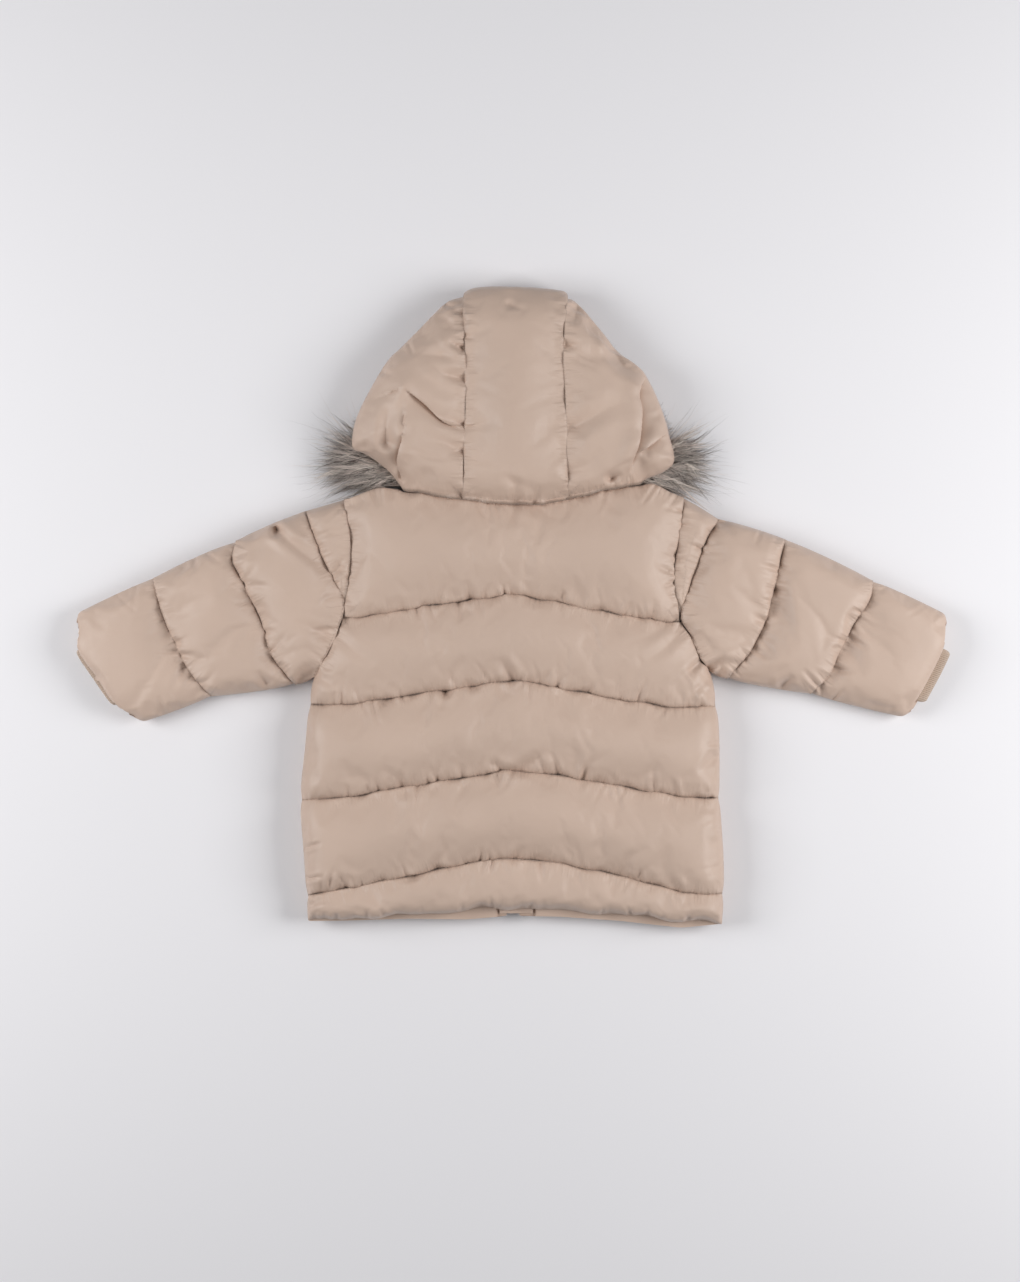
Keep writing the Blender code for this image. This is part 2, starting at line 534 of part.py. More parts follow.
def hood(garment, body_plan):
    """Three padded hood panels over the face opening: a gusset between two sides."""
    neck = body_plan[0]
    gusset = np.array(GUSSET)
    crown = np.array(GUSSET_CROWN)

    def columns(extra, low, high):
        inside = neck[(neck[:, 0] > low + COLUMN_APART) & (neck[:, 0] < high - COLUMN_APART), 0]
        apart = [x for x in extra if np.abs(inside - x).min(initial=np.inf) > COLUMN_APART]
        return np.unique(np.concatenate([inside, apart]))

    def grown(name, across, lower, upper, shift):
        """A panel whose columns run up from lower to upper edge and lean as the seams do."""
        rows = []
        for share in HOOD_ROWS:
            height = lower + (upper - lower) * share
            rows.append(np.stack([across + shift(height), height], axis=1))
        plan = np.array(rows)
        top, under = hood_heights(plan, neck)
        padded(name, plan, top, under, garment["shell"], garment)

    low, high = gusset[0, 1] + GAP / 2, gusset[0, 2] - GAP / 2
    extra = [low + step for step in GUSSET_STEPS] + [high - step for step in GUSSET_STEPS]
    across = columns(extra, low, high)
    lean_left = np.interp(across, (low, high), (1.0, 0.0))

    def gusset_shift(height):
        left = np.interp(height, gusset[:, 0], gusset[:, 1]) - gusset[0, 1]
        right = np.interp(height, gusset[:, 0], gusset[:, 2]) - gusset[0, 2]
        return left * lean_left + right * (1.0 - lean_left)

    lower = np.interp(across, neck[:, 0], neck[:, 1]) + GAP
    grown("hood_centre", across, lower, np.interp(across, crown[:, 0], crown[:, 1]), gusset_shift)

    for side, table, seam_column in (("left", HOOD_LEFT, 1), ("right", HOOD_RIGHT, 2)):
        table = np.array(sorted(table))
        outward = -1.0 if side == "left" else 1.0
        seam_x = gusset[0, seam_column] + outward * GAP / 2
        tip = table[0, 0] if side == "left" else table[-1, 0]
        extra = [seam_x + outward * step for step in PANEL_STEPS]
        extra = [x for x in extra if abs(x) < abs(tip) - 3.0]
        across = columns(np.array(extra + [tip]), min(seam_x, tip), max(seam_x, tip))
        lower = np.interp(across, table[:, 0], table[:, 1])
        on_body = np.interp(across, neck[:, 0], neck[:, 1]) + GAP
        sewn = np.abs(across) < NECK_REACH[side]
        lower = np.where(sewn, on_body, np.maximum(lower, on_body))
        upper = np.interp(across, table[:, 0], table[:, 2])
        lean = np.clip(1.0 - np.abs(across - seam_x) / LEAN_REACH, 0.0, 1.0)

        def side_shift(height, lean=lean, column=seam_column):
            return (np.interp(height, gusset[:, 0], gusset[:, column]) - gusset[0, column]) * lean

        grown(f"hood_{side}", across, lower, upper, side_shift)


def at_corner(points):
    """Whether each point lies where the fur shows beside the hood."""
    return (np.abs(points[..., 0]) > CORNER_FROM) & (points[..., 1] < CORNER_BELOW)


def fur_trim(garment, body_plan):
    """A backing strip along the face edge, with a tapering lock drawn out of each side of each piece."""
    fine = points_along(eased(FUR_PATH, 8), np.linspace(0.0, 1.0, 600))
    pitch = np.where(at_corner(fine), FUR_CORNER_PIECE, FUR_PIECE)
    steps = np.hypot(*np.diff(fine, axis=0).T) / pitch[1:]
    reached = np.concatenate([[0.0], np.cumsum(steps)])
    pieces = round(reached[-1])
    marks = np.linspace(0.0, reached[-1], pieces + 1)
    centre = np.stack([np.interp(marks, reached, fine[:, k]) for k in (0, 1)], axis=1)
    ahead = np.gradient(centre, axis=0)
    ahead = ahead / np.linalg.norm(ahead, axis=1)[:, None]
    outward = np.stack([-ahead[:, 1], ahead[:, 0]], axis=1)
    mesh = bmesh.new()
    rings = []
    for point, out in zip(centre, outward):
        corners = []
        for across, height in ((0.5, 0.0), (0.5, 1.0), (-0.5, 1.0), (-0.5, 0.0)):
            x, y = point + out * across * FUR_WIDTH
            corners.append(mesh.verts.new((x, y, FUR_FLOOR + height * FUR_THICK)))
        rings.append(corners)
    for near, far in zip(rings, rings[1:]):
        for i in range(4):
            mesh.faces.new((near[i], near[(i + 1) % 4], far[(i + 1) % 4], far[i]))
    for end in (rings[0][::-1], rings[-1]):
        mesh.faces.new(end)
    mesh.normal_update()
    shoulder = np.concatenate([np.array(SLEEVE_RINGS["left"]["elbow"][:1]),
                               np.array(SLEEVE_RINGS["left"]["shoulder"][:1]), body_plan[0],
                               np.array(SLEEVE_RINGS["right"]["shoulder"][:1]),
                               np.array(SLEEVE_RINGS["right"]["elbow"][:1])])
    chance = np.random.default_rng(4)
    mesh.faces.ensure_lookup_table()
    sides = [mesh.faces[4 * piece + face] for piece in range(1, pieces - 1) for face in (0, 2)]
    for face in sides:
        root = np.array(face.calc_center_median())
        heading = np.array(face.normal)
        piece = int(np.argmin(np.linalg.norm(centre - root[:2], axis=1)))
        outer = heading[:2] @ outward[piece] > 0
        corner = at_corner(root)
        length = (LONG_LOCK if corner else SHORT_LOCK) if outer else INNER_LOCK
        length *= chance.uniform(*LOCK_LENGTHS)
        swing = chance.uniform(-LOCK_SWING, LOCK_SWING)
        lift = chance.uniform(*(CORNER_RISE if corner and outer else HIDDEN_RISE))
        if corner and outer:
            along, aside, up = LOCK_SPREAD
            heading = heading * along + np.array((math.copysign(aside, root[0]), up * aside, 0.0))
            heading = heading / np.linalg.norm(heading)
        heading = np.array((heading[0] - swing * heading[1], heading[1] + swing * heading[0], 0.0))
        for share, girth in CORNER_GIRTHS if corner else HIDDEN_GIRTHS:
            face = bmesh.ops.extrude_discrete_faces(mesh, faces=[face])["faces"][0]
            goal = root + heading * length * share
            goal[2] = root[2] + lift * share ** 1.5
            if corner and abs(goal[0]) > CORNER_FROM:
                lowest = np.interp(goal[0], shoulder[:, 0], shoulder[:, 1]) + SHOULDER_CLEAR
                goal[1] = max(goal[1], lowest)
            centre_now = np.array(face.calc_center_median())
            for vertex in face.verts:
                vertex.co = goal + (np.array(vertex.co) - centre_now) * girth
    place(mesh, "fur_trim", garment["fur"], garment)


def prism(outline, low, high, name, garment):
    """An outline on the level raised into a metal plate."""
    mesh = bmesh.new()
    face = mesh.faces.new([mesh.verts.new((x, y, low)) for x, y in outline])
    raised = bmesh.ops.extrude_face_region(mesh, geom=[face])["geom"]
    corners = [corner for corner in raised if isinstance(corner, bmesh.types.BMVert)]
    bmesh.ops.translate(mesh, verts=corners, vec=(0.0, 0.0, high - low))
    return place(mesh, name, garment["metal"], garment)


def join(body, other):
    """Unite two overlapping solids and drop the second."""
    union = body.modifiers.new("union", "BOOLEAN")
    union.operation = "UNION"
    union.object = other
    graph = bpy.context.evaluated_depsgraph_get()
    joined = bpy.data.meshes.new_from_object(body.evaluated_get(graph))
    body.modifiers.clear()
    body.data = joined
    bpy.data.objects.remove(other)


def zip_fastener(garment):
    """The closed zip between the fronts: two tapes, the teeth and the slider, and the wind flap over them."""
    for name, low, high in (("zip_tape_left", -ZIP_HALF + GAP, -GAP / 2),
                            ("zip_tape_right", GAP / 2, ZIP_HALF - GAP)):
        block(name, (low, ZIP_LOW, TAPE_LOW), (high, ZIP_HIGH, TAPE_HIGH), garment["tape"], garment)
    block("zip_teeth", (-TEETH_HALF, ZIP_LOW + 2.0, TEETH_LOW), (TEETH_HALF, ZIP_HIGH - 2.0, TEETH_HIGH),
          garment["tape"], garment, 0.5)
    outline = [(x, ZIP_HIGH + y) for x, y in SLIDER_OUTLINE]
    slider = prism(outline, SLIDER_LOW, SLIDER_HIGH, "zip_slider", garment)
    for side in (-1, 1):
        low = (side * LUG_AT - LUG_HALF[0], PULL_AXIS[1] - LUG_HALF[1], LUG_LOW)
        high = (side * LUG_AT + LUG_HALF[0], PULL_AXIS[1] + LUG_HALF[1], LUG_HIGH)
        join(slider, block(f"lug_{side}", low, high, garment["metal"], garment))
    block("wind_flap", (FLAP_LEFT, ZIP_LOW - 3.0, FACING_TOP + GAP), (FLAP_RIGHT, ZIP_HIGH - 2.0, MID - GAP),
          garment["shell"], garment, FLAP_EASE)


def zip_pull(garment):
    """The slider's pull: a knuckle between the lugs and a flat tab, turning about PULL_AXIS."""
    hinge = bpy.data.objects.new("pull_axis", None)
    garment["collection"].objects.link(hinge)
    hinge.parent = garment["root"]
    hinge.location = np.array(PULL_AXIS) * MM
    mesh = bmesh.new()
    bmesh.ops.create_cone(mesh, cap_ends=True, segments=12, radius1=KNUCKLE_RADIUS, radius2=KNUCKLE_RADIUS,
                          depth=KNUCKLE_LENGTH)
    bmesh.ops.rotate(mesh, verts=mesh.verts[:], matrix=Matrix.Rotation(math.pi / 2, 3, "Y"))
    knuckle = place(mesh, "zip_pull", garment["metal"], garment)
    knuckle.parent = hinge
    tab = prism(PULL_OUTLINE, -PULL_THICK / 2, PULL_THICK / 2, "tab", garment)
    tab.parent = hinge
    bpy.context.view_layer.update()
    join(knuckle, tab)


def main():
    """Build the parka."""
    for old in list(bpy.data.objects):
        bpy.data.objects.remove(old)
    collection = bpy.data.collections.new("parka")
    bpy.context.scene.collection.children.link(collection)
    root = bpy.data.objects.new("parka", None)
    collection.objects.link(root)
    garment = {
        "collection": collection,
        "root": root,
        "shell": material("shell", SHELL_COLOUR, 0.55),
        "rib": material("rib", RIB_COLOUR, 0.9),
        "fur": material("fur", FUR_COLOUR, 0.85),
        "tape": material("tape", TAPE_COLOUR, 0.8),
        "metal": material("metal", METAL_COLOUR, 0.35, 1.0),
    }
    body_plan = back(garment)
    fronts(garment, body_plan)
    for side in ("left", "right"):
        cuff(garment, side, sleeve(garment, body_plan, side))
    hood(garment, body_plan)
    fur_trim(garment, body_plan)
    zip_fastener(garment)
    zip_pull(garment)


main()
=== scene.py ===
"""Dresses the parka's frame in quilted cloth, rib knit and long fur, and lights it on a pale floor.

Places are in millimetres here and become metres when a mesh is made. +Y runs from hem to hood.
"""

import math
from contextlib import contextmanager

import bpy
import numpy as np
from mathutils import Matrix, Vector
from mathutils.bvhtree import BVHTree


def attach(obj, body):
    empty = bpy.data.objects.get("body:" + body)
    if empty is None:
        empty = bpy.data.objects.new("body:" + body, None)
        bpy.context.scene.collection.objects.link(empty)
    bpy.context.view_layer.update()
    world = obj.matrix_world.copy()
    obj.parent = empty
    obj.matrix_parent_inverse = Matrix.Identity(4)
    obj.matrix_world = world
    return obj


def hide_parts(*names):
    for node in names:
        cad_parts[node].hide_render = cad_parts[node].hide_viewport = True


bl_info = {
    "name": "Padded parka",
    "version": (1, 0, 0),
    "blender": (4, 5, 0),
    "location": "View3D > Sidebar > Parka",
    "description": "Dresses the parka's frame in quilted cloth, rib knit and long fur",
    "category": "Object",
}

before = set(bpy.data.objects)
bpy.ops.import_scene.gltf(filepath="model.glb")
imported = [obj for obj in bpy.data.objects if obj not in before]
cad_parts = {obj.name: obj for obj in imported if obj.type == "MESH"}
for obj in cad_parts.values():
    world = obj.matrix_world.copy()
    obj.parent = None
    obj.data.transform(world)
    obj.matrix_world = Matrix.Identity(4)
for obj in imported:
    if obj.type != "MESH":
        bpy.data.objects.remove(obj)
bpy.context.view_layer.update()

MM = 0.001
GAP = 0.3
MID = 17.0  # the height at which the back rests on the fronts
NO_LENGTH = 1e-6  # no way is divided by less than this
TINY = 1e-9  # and no square of a length by less than this
SIDES = {"left": -1.0, "right": 1.0}  # which way each side lies from the middle
EDGE_COLUMN = {"left": 0, "right": -1}  # where a row over the body has each side's edge

# Quilted layers
SEAM_TOP = 22.0  # the back where it is stitched through
EDGE_TOP = 18.6  # and at its hem and side seams
BACK_TOP = 42.0
BACK_SPARE = 3.5  # how far below that the back is laid before its padding pushes it up
BACK_GATHER = 16.0  # how far from the stitching its cloth is gathered
CHANNEL_ROLL = 27.0
SUNK_ROLL = 15.0
EDGE_ROLL = 20.0
EDGE_FADE = 12.0
SIDE_PINCH = 1.6
PINCH_REACH = 6.0
ARMPIT_CLEAR = 8.0
ARMHOLE_LIFT = 4.5
BODY_WIDTH = 380.0
GRID = 2.6  # spacing of the cloth's grid before it is subdivided once
FRONT_GRID = 4.0
APEX_SOFT = 2
SEAM_WAVES = ((0.45, 47.0), (0.3, 83.0))
HEM_WAVES = ((1.3, 34.0), (0.8, 61.0))
THINNING = 0.56  # share of a closed layer's faces that is left when its plain side is thinned out
FAR = 99.0  # a distance at which a line of stitching no longer shows
MARK_STEP = 500.0  # keeps one line of stitching's marks apart from the next one's

SLEEVE_EDGE = 14.0
SLEEVE_RING = 22.0
SLEEVE_ROLL = 26.0
SLEEVE_HEAD_ROLL = 12.0
SLEEVE_SPARE = 3.0
SLEEVE_GATHER = 14.0
SLEEVE_HELD = 0.8
SLEEVE_UNDER = 11.2
SLEEVE_UNDER_ROLL = 17.0
SLEEVE_PUFFS = (39.0, 39.0, 37.0, 32.0)
SLEEVE_COLUMNS = 48
SLEEVE_STEPS = (9, 21, 25, 25)  # rows of the grid from armhole to mouth, ring by ring
SLEEVE_BULGES = (0.0, 1.2, 1.4, 1.0)  # how far the edges swell between rings
SLIT_LEVEL = 11.5
MOUTH_TOP = 20.0
MOUTH_ROWS = 6
MOUTH_ROUND = 6.0
MOUTH_LIFT = 3.0
MOUTH_FADE = 9.0
POCKET_STEPS = ((1.5, 0.94), (6.0, 0.98), (14.0, 1.0), (16.0, 1.0))  # how far in a ring goes, and its width
POCKET_ROUND = 9.0
POCKET_END = 0.4
POCKET_SWELL = 3.4

HOOD_TOP = 56.0
HOOD_SPARE = 4.0
HOOD_GATHER = 14.0
HOOD_HELD = 0.6
HOOD_LEAST = 2.5  # the thinnest that folds leave the hood
HOOD_LAYER = 2.0  # and the thinnest it is at its edges
HOOD_EDGE = 23.0
HOOD_EDGE_UNDER = 18.0
HOOD_NECK = 25.0
HOOD_RIM = 8.6
HOOD_RECESS = 27.0
RIM_WIDTH = 27.0
RIM_FADE = 8.0
NECK_STEP = 10.0
NECK_COUNT = 160
NECK_INSET = 3.0
HOOD_CORNER = 16.0
HOOD_ROLL = 36.0
HOOD_UNDER_ROLL = 14.0
HOOD_NECK_ROLL = 30.0
HOOD_SEAM_ROLL = 17.0
HOOD_SEAM_FADE = 20.0
HOOD_SEAM_DEPTH = 6.0

# Fronts and wind flap
FRONT_COLUMNS = 48
FRONT_ROLL = 15.0
FRONT_EDGE = 15.2
FACING_ROLL = 6.0
FACING_LIFT = 4.0
FACING_TOP = 13.6
GROOVE = 6.0
ZIP_HALF = 5.5
FLAP = {"left": -12.0, "right": 18.0}
FLAP_CLEAR = 2.0

# How cloth settles over its padding, creases, puckers, sinks into seams and laps over itself
FABRIC = {"vertex_group_mass": "held", "vertex_group_shrink": "gathered", "quality": 5, "mass": 0.02,
          "tension_stiffness": 15.0, "compression_stiffness": 15.0, "shear_stiffness": 5.0,
          "bending_stiffness": 0.35, "use_pressure": True, "uniform_pressure_force": 2.6}
SETTLE_FRAMES = 20
SETTLE_CAP = 9.0
CREASE = {"taper": 0.8, "power": 1.4, "cut": 0.6, "bowl": 2.6, "ridge_at": 2.8, "ridge": 1.5}
PUCKERS = {"apart": 6.5, "length": 22.0, "width": 1.5, "depth": 3.4, "upper": 0.72, "ridge": 0.5,
           "start": 2.0, "slants": (-0.7, 0.7), "lengths": (0.35, 1.0),
           "widths": (0.7, 1.3), "depths": (0.25, 1.0)}
NUDGE = 0.01
SEAM = {"falls": (0.0, -1.0), "lean": 2.35, "other": 2.1, "deep": 1.8, "wide": 1.2, "lowest": MID + 2.6,
        "margin": 16.0, "wander": 0.35, "beside": 6.0}
DRAW_REACH = 3.0
LAP = {"margin": 30.0, "fade": 16.0, "leans": (2.6, 1.2), "raised": 0.3, "raised_at": 6.0, "raised_wide": 7.0,
       "sunk": 0.8, "sunk_wide": 10.0}

# Woven finishes: colour or its setting, threads, blotches of tone, sheen, depth of the weave
CLOTHS = {
    "shell cloth": ("shell_colour", 1500.0, 0.035, 0.15, 0.35),
    "rib knit": ("rib_colour", 520.0, 0.08, 0.3, 0.5),
    "zip tape": ("tape_colour", 900.0, 0.05, 0.1, 0.4),
    "moulded teeth": ("tape_colour", 200.0, 0.05, 0.0, 0.05),
    "fur backing": ((0.12, 0.10, 0.085), 700.0, 0.1, 0.1, 0.4),
    "thread": ((0.42, 0.31, 0.245), 2500.0, 0.04, 0.2, 0.3),
}

# Folds pressed into the cloth: line from its deep end to its shallow one, half width, depth, ridge beside it
BACK_FOLDS = (
    (((-142.0, 69.0), (-124.0, 46.0), (-105.0, 25.0)), 7.0, 2.5, 0.3),
    (((8.0, 94.5), (26.0, 86.0), (44.0, 77.0)), 3.2, 3.2, 0.4),
    (((2.0, 93.5), (-2.0, 82.0), (-6.0, 71.5)), 2.8, 3.0, 0.4),
    (((-124.0, 107.0), (-121.0, 90.0)), 2.6, 4.2, 0.4),
    (((-112.0, 106.0), (-106.0, 96.0)), 2.4, 3.2, 0.4),
    (((118.0, 110.0), (112.0, 98.0)), 2.6, 3.2, 0.4),
    (((-39.0, 9.0), (-42.0, 25.0)), 2.4, 4.5, 0.4),
    (((0.0, 13.0), (-6.0, 24.0)), 2.4, 4.2, 0.4),
    (((0.0, -63.5), (-12.7, -44.0)), 2.8, 5.8, 0.45),
    (((-59.6, -76.0), (-68.0, -68.0)), 2.6, 5.0, 0.4),
    (((-61.0, -78.0), (-66.0, -92.0)), 2.4, 3.5, 0.4),
    (((-34.0, -72.0), (-44.0, -63.0)), 2.2, 3.8, 0.4),
    (((-112.0, -82.0), (-126.0, -96.0)), 2.8, 3.5, 0.4),
    (((4.0, -146.0), (33.0, -127.0)), 3.2, 4.2, 0.4),
    (((-3.0, -146.0), (-24.0, -137.0)), 2.4, 3.8, 0.4),
    (((181.5, -134.0), (166.0, -149.0)), 2.8, 4.2, 0.4),
    (((0.0, -226.0), (10.0, -213.0)), 2.4, 4.5, 0.4),
    (((-16.0, -275.0), (-6.0, -259.0)), 3.0, 4.2, 0.4),
    (((148.0, -252.0), (140.0, -243.0)), 2.4, 3.2, 0.4),
    (((153.0, -19.5), (133.0, -38.0), (110.0, -52.5)), 3.0, 2.6, 0.5),
    (((169.5, -46.0), (160.0, -55.0), (149.7, -62.4)), 2.2, 3.0, 0.5),
    (((182.0, -56.0), (168.0, -70.0), (156.0, -82.0)), 2.4, 3.2, 0.5),
    (((146.0, -12.0), (120.0, -26.0), (96.0, -34.0)), 3.2, 2.0, 0.4),
    (((-158.0, -24.0), (-140.0, -40.0), (-122.0, -50.0)), 3.0, 2.2, 0.5),
    (((-178.0, -60.0), (-164.0, -68.0), (-150.0, -78.0)), 2.4, 2.6, 0.5),
    (((60.0, -158.0), (70.0, -140.0), (88.0, -128.0)), 2.6, 2.4, 0.4),
    (((-96.0, -166.0), (-104.0, -152.0), (-120.0, -144.0)), 2.6, 2.4, 0.4),
    (((96.0, -236.0), (106.0, -222.0), (122.0, -214.0)), 2.6, 2.2, 0.4),
    (((-70.0, -232.0), (-62.0, -218.0), (-64.0, -204.0)), 2.4, 2.4, 0.4),
)
SLEEVE_FOLDS = {
    "left": (
        (((-213.0, 71.0), (-214.5, 62.0)), 2.4, 9.0, 0.1),
        (((-211.0, 69.0), (-191.6, 52.0), (-182.0, 44.0), (-170.0, 40.0)), 2.8, 5.0, 0.5),
        (((-222.6, -68.0), (-229.0, -56.0)), 2.4, 5.4, 0.4),
        (((-196.0, -69.0), (-184.0, -55.0), (-173.0, -51.0)), 2.8, 6.0, 0.45),
        (((-170.0, -23.0), (-194.0, -12.0)), 3.4, 3.6, 0.5),
        (((-155.0, 4.0), (-176.0, 1.0), (-192.0, 8.0)), 4.5, 2.9, 0.4),
        (((-268.0, -79.0), (-279.0, -70.0), (-288.0, -58.0)), 2.4, 3.8, 0.4),
        (((-203.0, -62.0), (-206.0, -48.0)), 2.2, 4.3, 0.4),
    ),
    "right": (
        (((187.0, 81.0), (181.0, 72.0), (176.0, 61.0)), 3.6, 9.6, 0.1),
        (((189.0, 78.0), (200.0, 66.0)), 2.6, 4.1, 0.5),
        (((234.0, 16.0), (225.0, 20.0)), 2.4, 4.8, 0.4),
        (((171.0, -54.0), (186.0, -50.5), (201.0, -47.6)), 2.6, 5.5, 0.5),
        (((237.0, 10.6), (243.0, -6.0), (249.0, -24.0)), 4.5, 2.9, 0.5),
        (((243.0, -69.0), (252.0, -60.0)), 2.6, 6.0, 0.4),
        (((301.0, -32.0), (308.0, -47.0), (314.0, -63.0)), 4.5, 2.6, 0.4),
        (((157.0, -19.0), (175.0, -33.0), (191.0, -42.0)), 3.6, 3.4, 0.4),
        (((226.0, -14.0), (214.0, -8.0)), 2.4, 3.6, 0.4),
    ),
}
HOOD_FOLDS = (
    (((-113.2, 148.0), (-113.7, 162.0), (-110.6, 182.0)), 3.6, 7.0, 0.4),
    (((-100.5, 117.0), (-101.0, 125.0)), 2.0, 8.0, 0.1),
    (((-46.0, 164.0), (-75.5, 178.0), (-94.0, 197.0)), 4.2, 5.8, 0.4),
    (((-98.0, 197.0), (-103.0, 187.0), (-109.0, 176.0)), 4.0, -3.2, 0.0),
    (((-64.0, 225.0), (-88.0, 227.0)), 4.5, 3.8, 0.4),
    (((-46.0, 263.0), (-58.0, 267.0)), 2.2, 5.1, 0.4),
    (((-43.0, 254.0), (-54.0, 259.0)), 2.2, 4.8, 0.4),
    (((-45.0, 98.0), (-54.0, 105.0), (-59.0, 113.0)), 2.4, 5.4, 0.4),
    (((88.0, 116.0), (97.0, 119.6)), 2.6, 11.2, 0.1),
    (((90.0, 231.0), (98.6, 217.0), (110.0, 211.0), (121.0, 208.6)), 4.0, 7.4, 0.45),
    (((56.0, 162.0), (86.0, 179.0), (105.0, 186.0)), 5.0, 5.4, 0.45),
    (((51.0, 121.0), (66.0, 127.0), (80.0, 142.0)), 4.0, 4.8, 0.4),
    (((58.0, 268.0), (54.0, 252.0)), 3.0, 4.8, 0.4),
    (((-47.0, 232.0), (-58.0, 238.0)), 2.4, 6.4, 0.4),
    (((-46.0, 205.0), (-60.0, 208.0), (-74.0, 218.0)), 3.0, 5.4, 0.4),
    (((-46.0, 140.0), (-62.0, 148.0), (-80.0, 150.0)), 3.4, 4.8, 0.4),
    (((49.0, 235.0), (60.0, 232.0)), 2.4, 5.8, 0.4),
    (((-4.0, 271.0), (9.4, 266.0), (3.0, 259.6)), 2.0, 2.2, 0.4),
    (((1.0, 94.0), (3.0, 109.0), (-5.4, 117.0), (0.0, 128.0)), 2.6, 3.8, 0.4),
)

# Laps: line, which way the upper side falls, height
HOOD_LAPS = (
    (((120.0, 211.0), (112.5, 192.0), (115.0, 177.0), (113.5, 155.5), (109.0, 138.6), (104.0, 119.0)),
     (1.0, 0.0), 11.0),
    (((108.0, 135.0), (124.0, 146.0), (142.0, 160.0)), (0.5, -0.85), 7.5),
    (((-97.0, 158.0), (-101.5, 140.0), (-103.5, 128.0), (-100.0, 116.0)), (-1.0, 0.0), 11.0),
    (((-46.0, 160.0), (-62.0, 166.0), (-80.0, 183.0), (-98.0, 196.0)), (0.3, -0.95), 7.5),
)

# The body's lines of stitching: height of each at these shares of the way from its left to right side
ACROSS = (0.0, 0.10, 0.25, 0.40, 0.50, 0.60, 0.75, 0.90, 1.0)
BACK_LINES = {
    "hem": (-281.7, -279.6, -276.5, -271.6, -269.7, -272.3, -275.8, -281.2, -284.4),
    "line_4": (-258.3, -251.3, -240.0, -228.3, -224.5, -229.1, -240.1, -255.0, -257.4),
    "line_3": (-171.9, -170.4, -160.5, -151.7, -145.5, -149.2, -159.0, -168.7, -171.0),
    "line_2": (-87.3, -85.8, -77.7, -70.4, -64.4, -70.7, -81.0, -89.1, -88.2),
    "line_1": (-9.9, -5.8, 2.4, 8.0, 12.9, 7.3, -2.0, -9.7, -13.5),
    "neck": (97.2, 108.4, 102.0, 96.9, 94.5, 95.1, 105.5, 111.7, 99.9),
}
FRONT_HEM = (-282.0, -281.5, -279.8, -280.5, -277.4, -278.0, -281.8, -288.0, -284.4)
FRONT_NECK = ((-152.1, 97.2), (-121.5, 108.4), (-100.8, 107.0), (-88, 88), (-60, 69), (-30, 60),
              (0, 57), (30, 60), (60, 69), (88, 88), (104, 108.4), (123.3, 111.7), (153.9, 99.9))
BODY_SIDES = {
    "left": ((-152.1, 97.2), (-145.8, 54.9), (-150.3, 3.6), (-161.1, -29.7), (-172.8, -52.2),
             (-179.1, -62.1), (-183.6, -86.4), (-187.0, -123.0), (-191.5, -171.9), (-188.6, -217.8),
             (-186.0, -258.0), (-184.5, -281.7)),
    "right": ((153.9, 99.9), (148.5, 60.3), (144.9, 32.4), (149.4, -6.3), (158.0, -24.0),
              (168.0, -47.0), (177.3, -57.0), (183.6, -88.2), (185.8, -118.8), (186.3, -171.0),
              (189.5, -222.0), (189.9, -257.4), (188.1, -284.4)),
}
ARMPITS = {"left": -62.1, "right": -57.0}

SLEEVE_RINGS = {
    "left": (
        ((-187.2, 87.3), (-171.0, 46.0), (-152.8, 5.4), (-163.3, -30.2), (-175.0, -53.0), (-181.2, -64.0)),
        ((-248.4, 61.2), (-252.9, 43.2), (-245.7, 28.8), (-225.9, -13.5), (-215.1, -45.0), (-195.3, -68.8)),
        ((-324.0, 27.0), (-314.1, -8.1), (-303.0, -33.0), (-291.6, -55.8), (-271.8, -79.5)),
        ((-395.5, -6.3), (-393.6, -17.0), (-394.0, -36.0), (-376.0, -64.0), (-357.0, -90.0),
         (-336.6, -103.5)),
    ),
    "right": (
        ((185.4, 80.1), (176.4, 66.6), (166.5, 43.2), (152.0, -5.0), (160.4, -23.0), (170.4, -46.0),
         (179.6, -59.0)),
        ((244.8, 62.1), (237.6, 32.4), (233.1, 12.6), (225.9, -13.5), (211.5, -40.5), (191.7, -63.4)),
        ((323.1, 25.2), (321.3, 9.0), (306.9, -13.5), (292.5, -42.3), (282.6, -61.2), (267.3, -77.0)),
        ((392.8, -7.2), (390.0, -31.5), (381.5, -52.0), (371.0, -72.0), (359.5, -93.0), (355.5, -99.0)),
    ),
}

# Hood gusset: height, left seam, right seam. Side panels: distance across, lower edge, upper edge.
GUSSET = ((97.0, -45.0, 49.5), (187.2, -42.3, 46.8), (234.0, -43.2, 45.2), (266.0, -44.0, 47.4),
          (279.5, -44.1, 48.6), (288.9, -43.0, 47.0))
GUSSET_CROWN = ((-45.0, 281.0), (-30.0, 288.5), (12.0, 288.5), (40.0, 285.5), (49.5, 279.5))
HOOD_SIDES = {
    "left": ((-45.0, 97.0, 280.6), (-61.2, 99.9, 273.6), (-85.5, 103.5, 249.3), (-100.8, 109.0, 234.0),
             (-113.4, 124.2, 221.4), (-129.6, 136.8, 194.4), (-140.4, 141.3, 171.9), (-144.4, 144.0, 156.0)),
    "right": ((49.5, 95.0, 279.0), (58.5, 99.9, 273.6), (79.2, 107.1, 249.3), (94.5, 112.0, 230.4),
              (117.9, 115.0, 211.5), (132.3, 120.6, 182.7), (140.4, 126.0, 156.0), (144.6, 130.5, 140.0)),
}
NECK_REACH = {"left": 102.0, "right": 119.0}

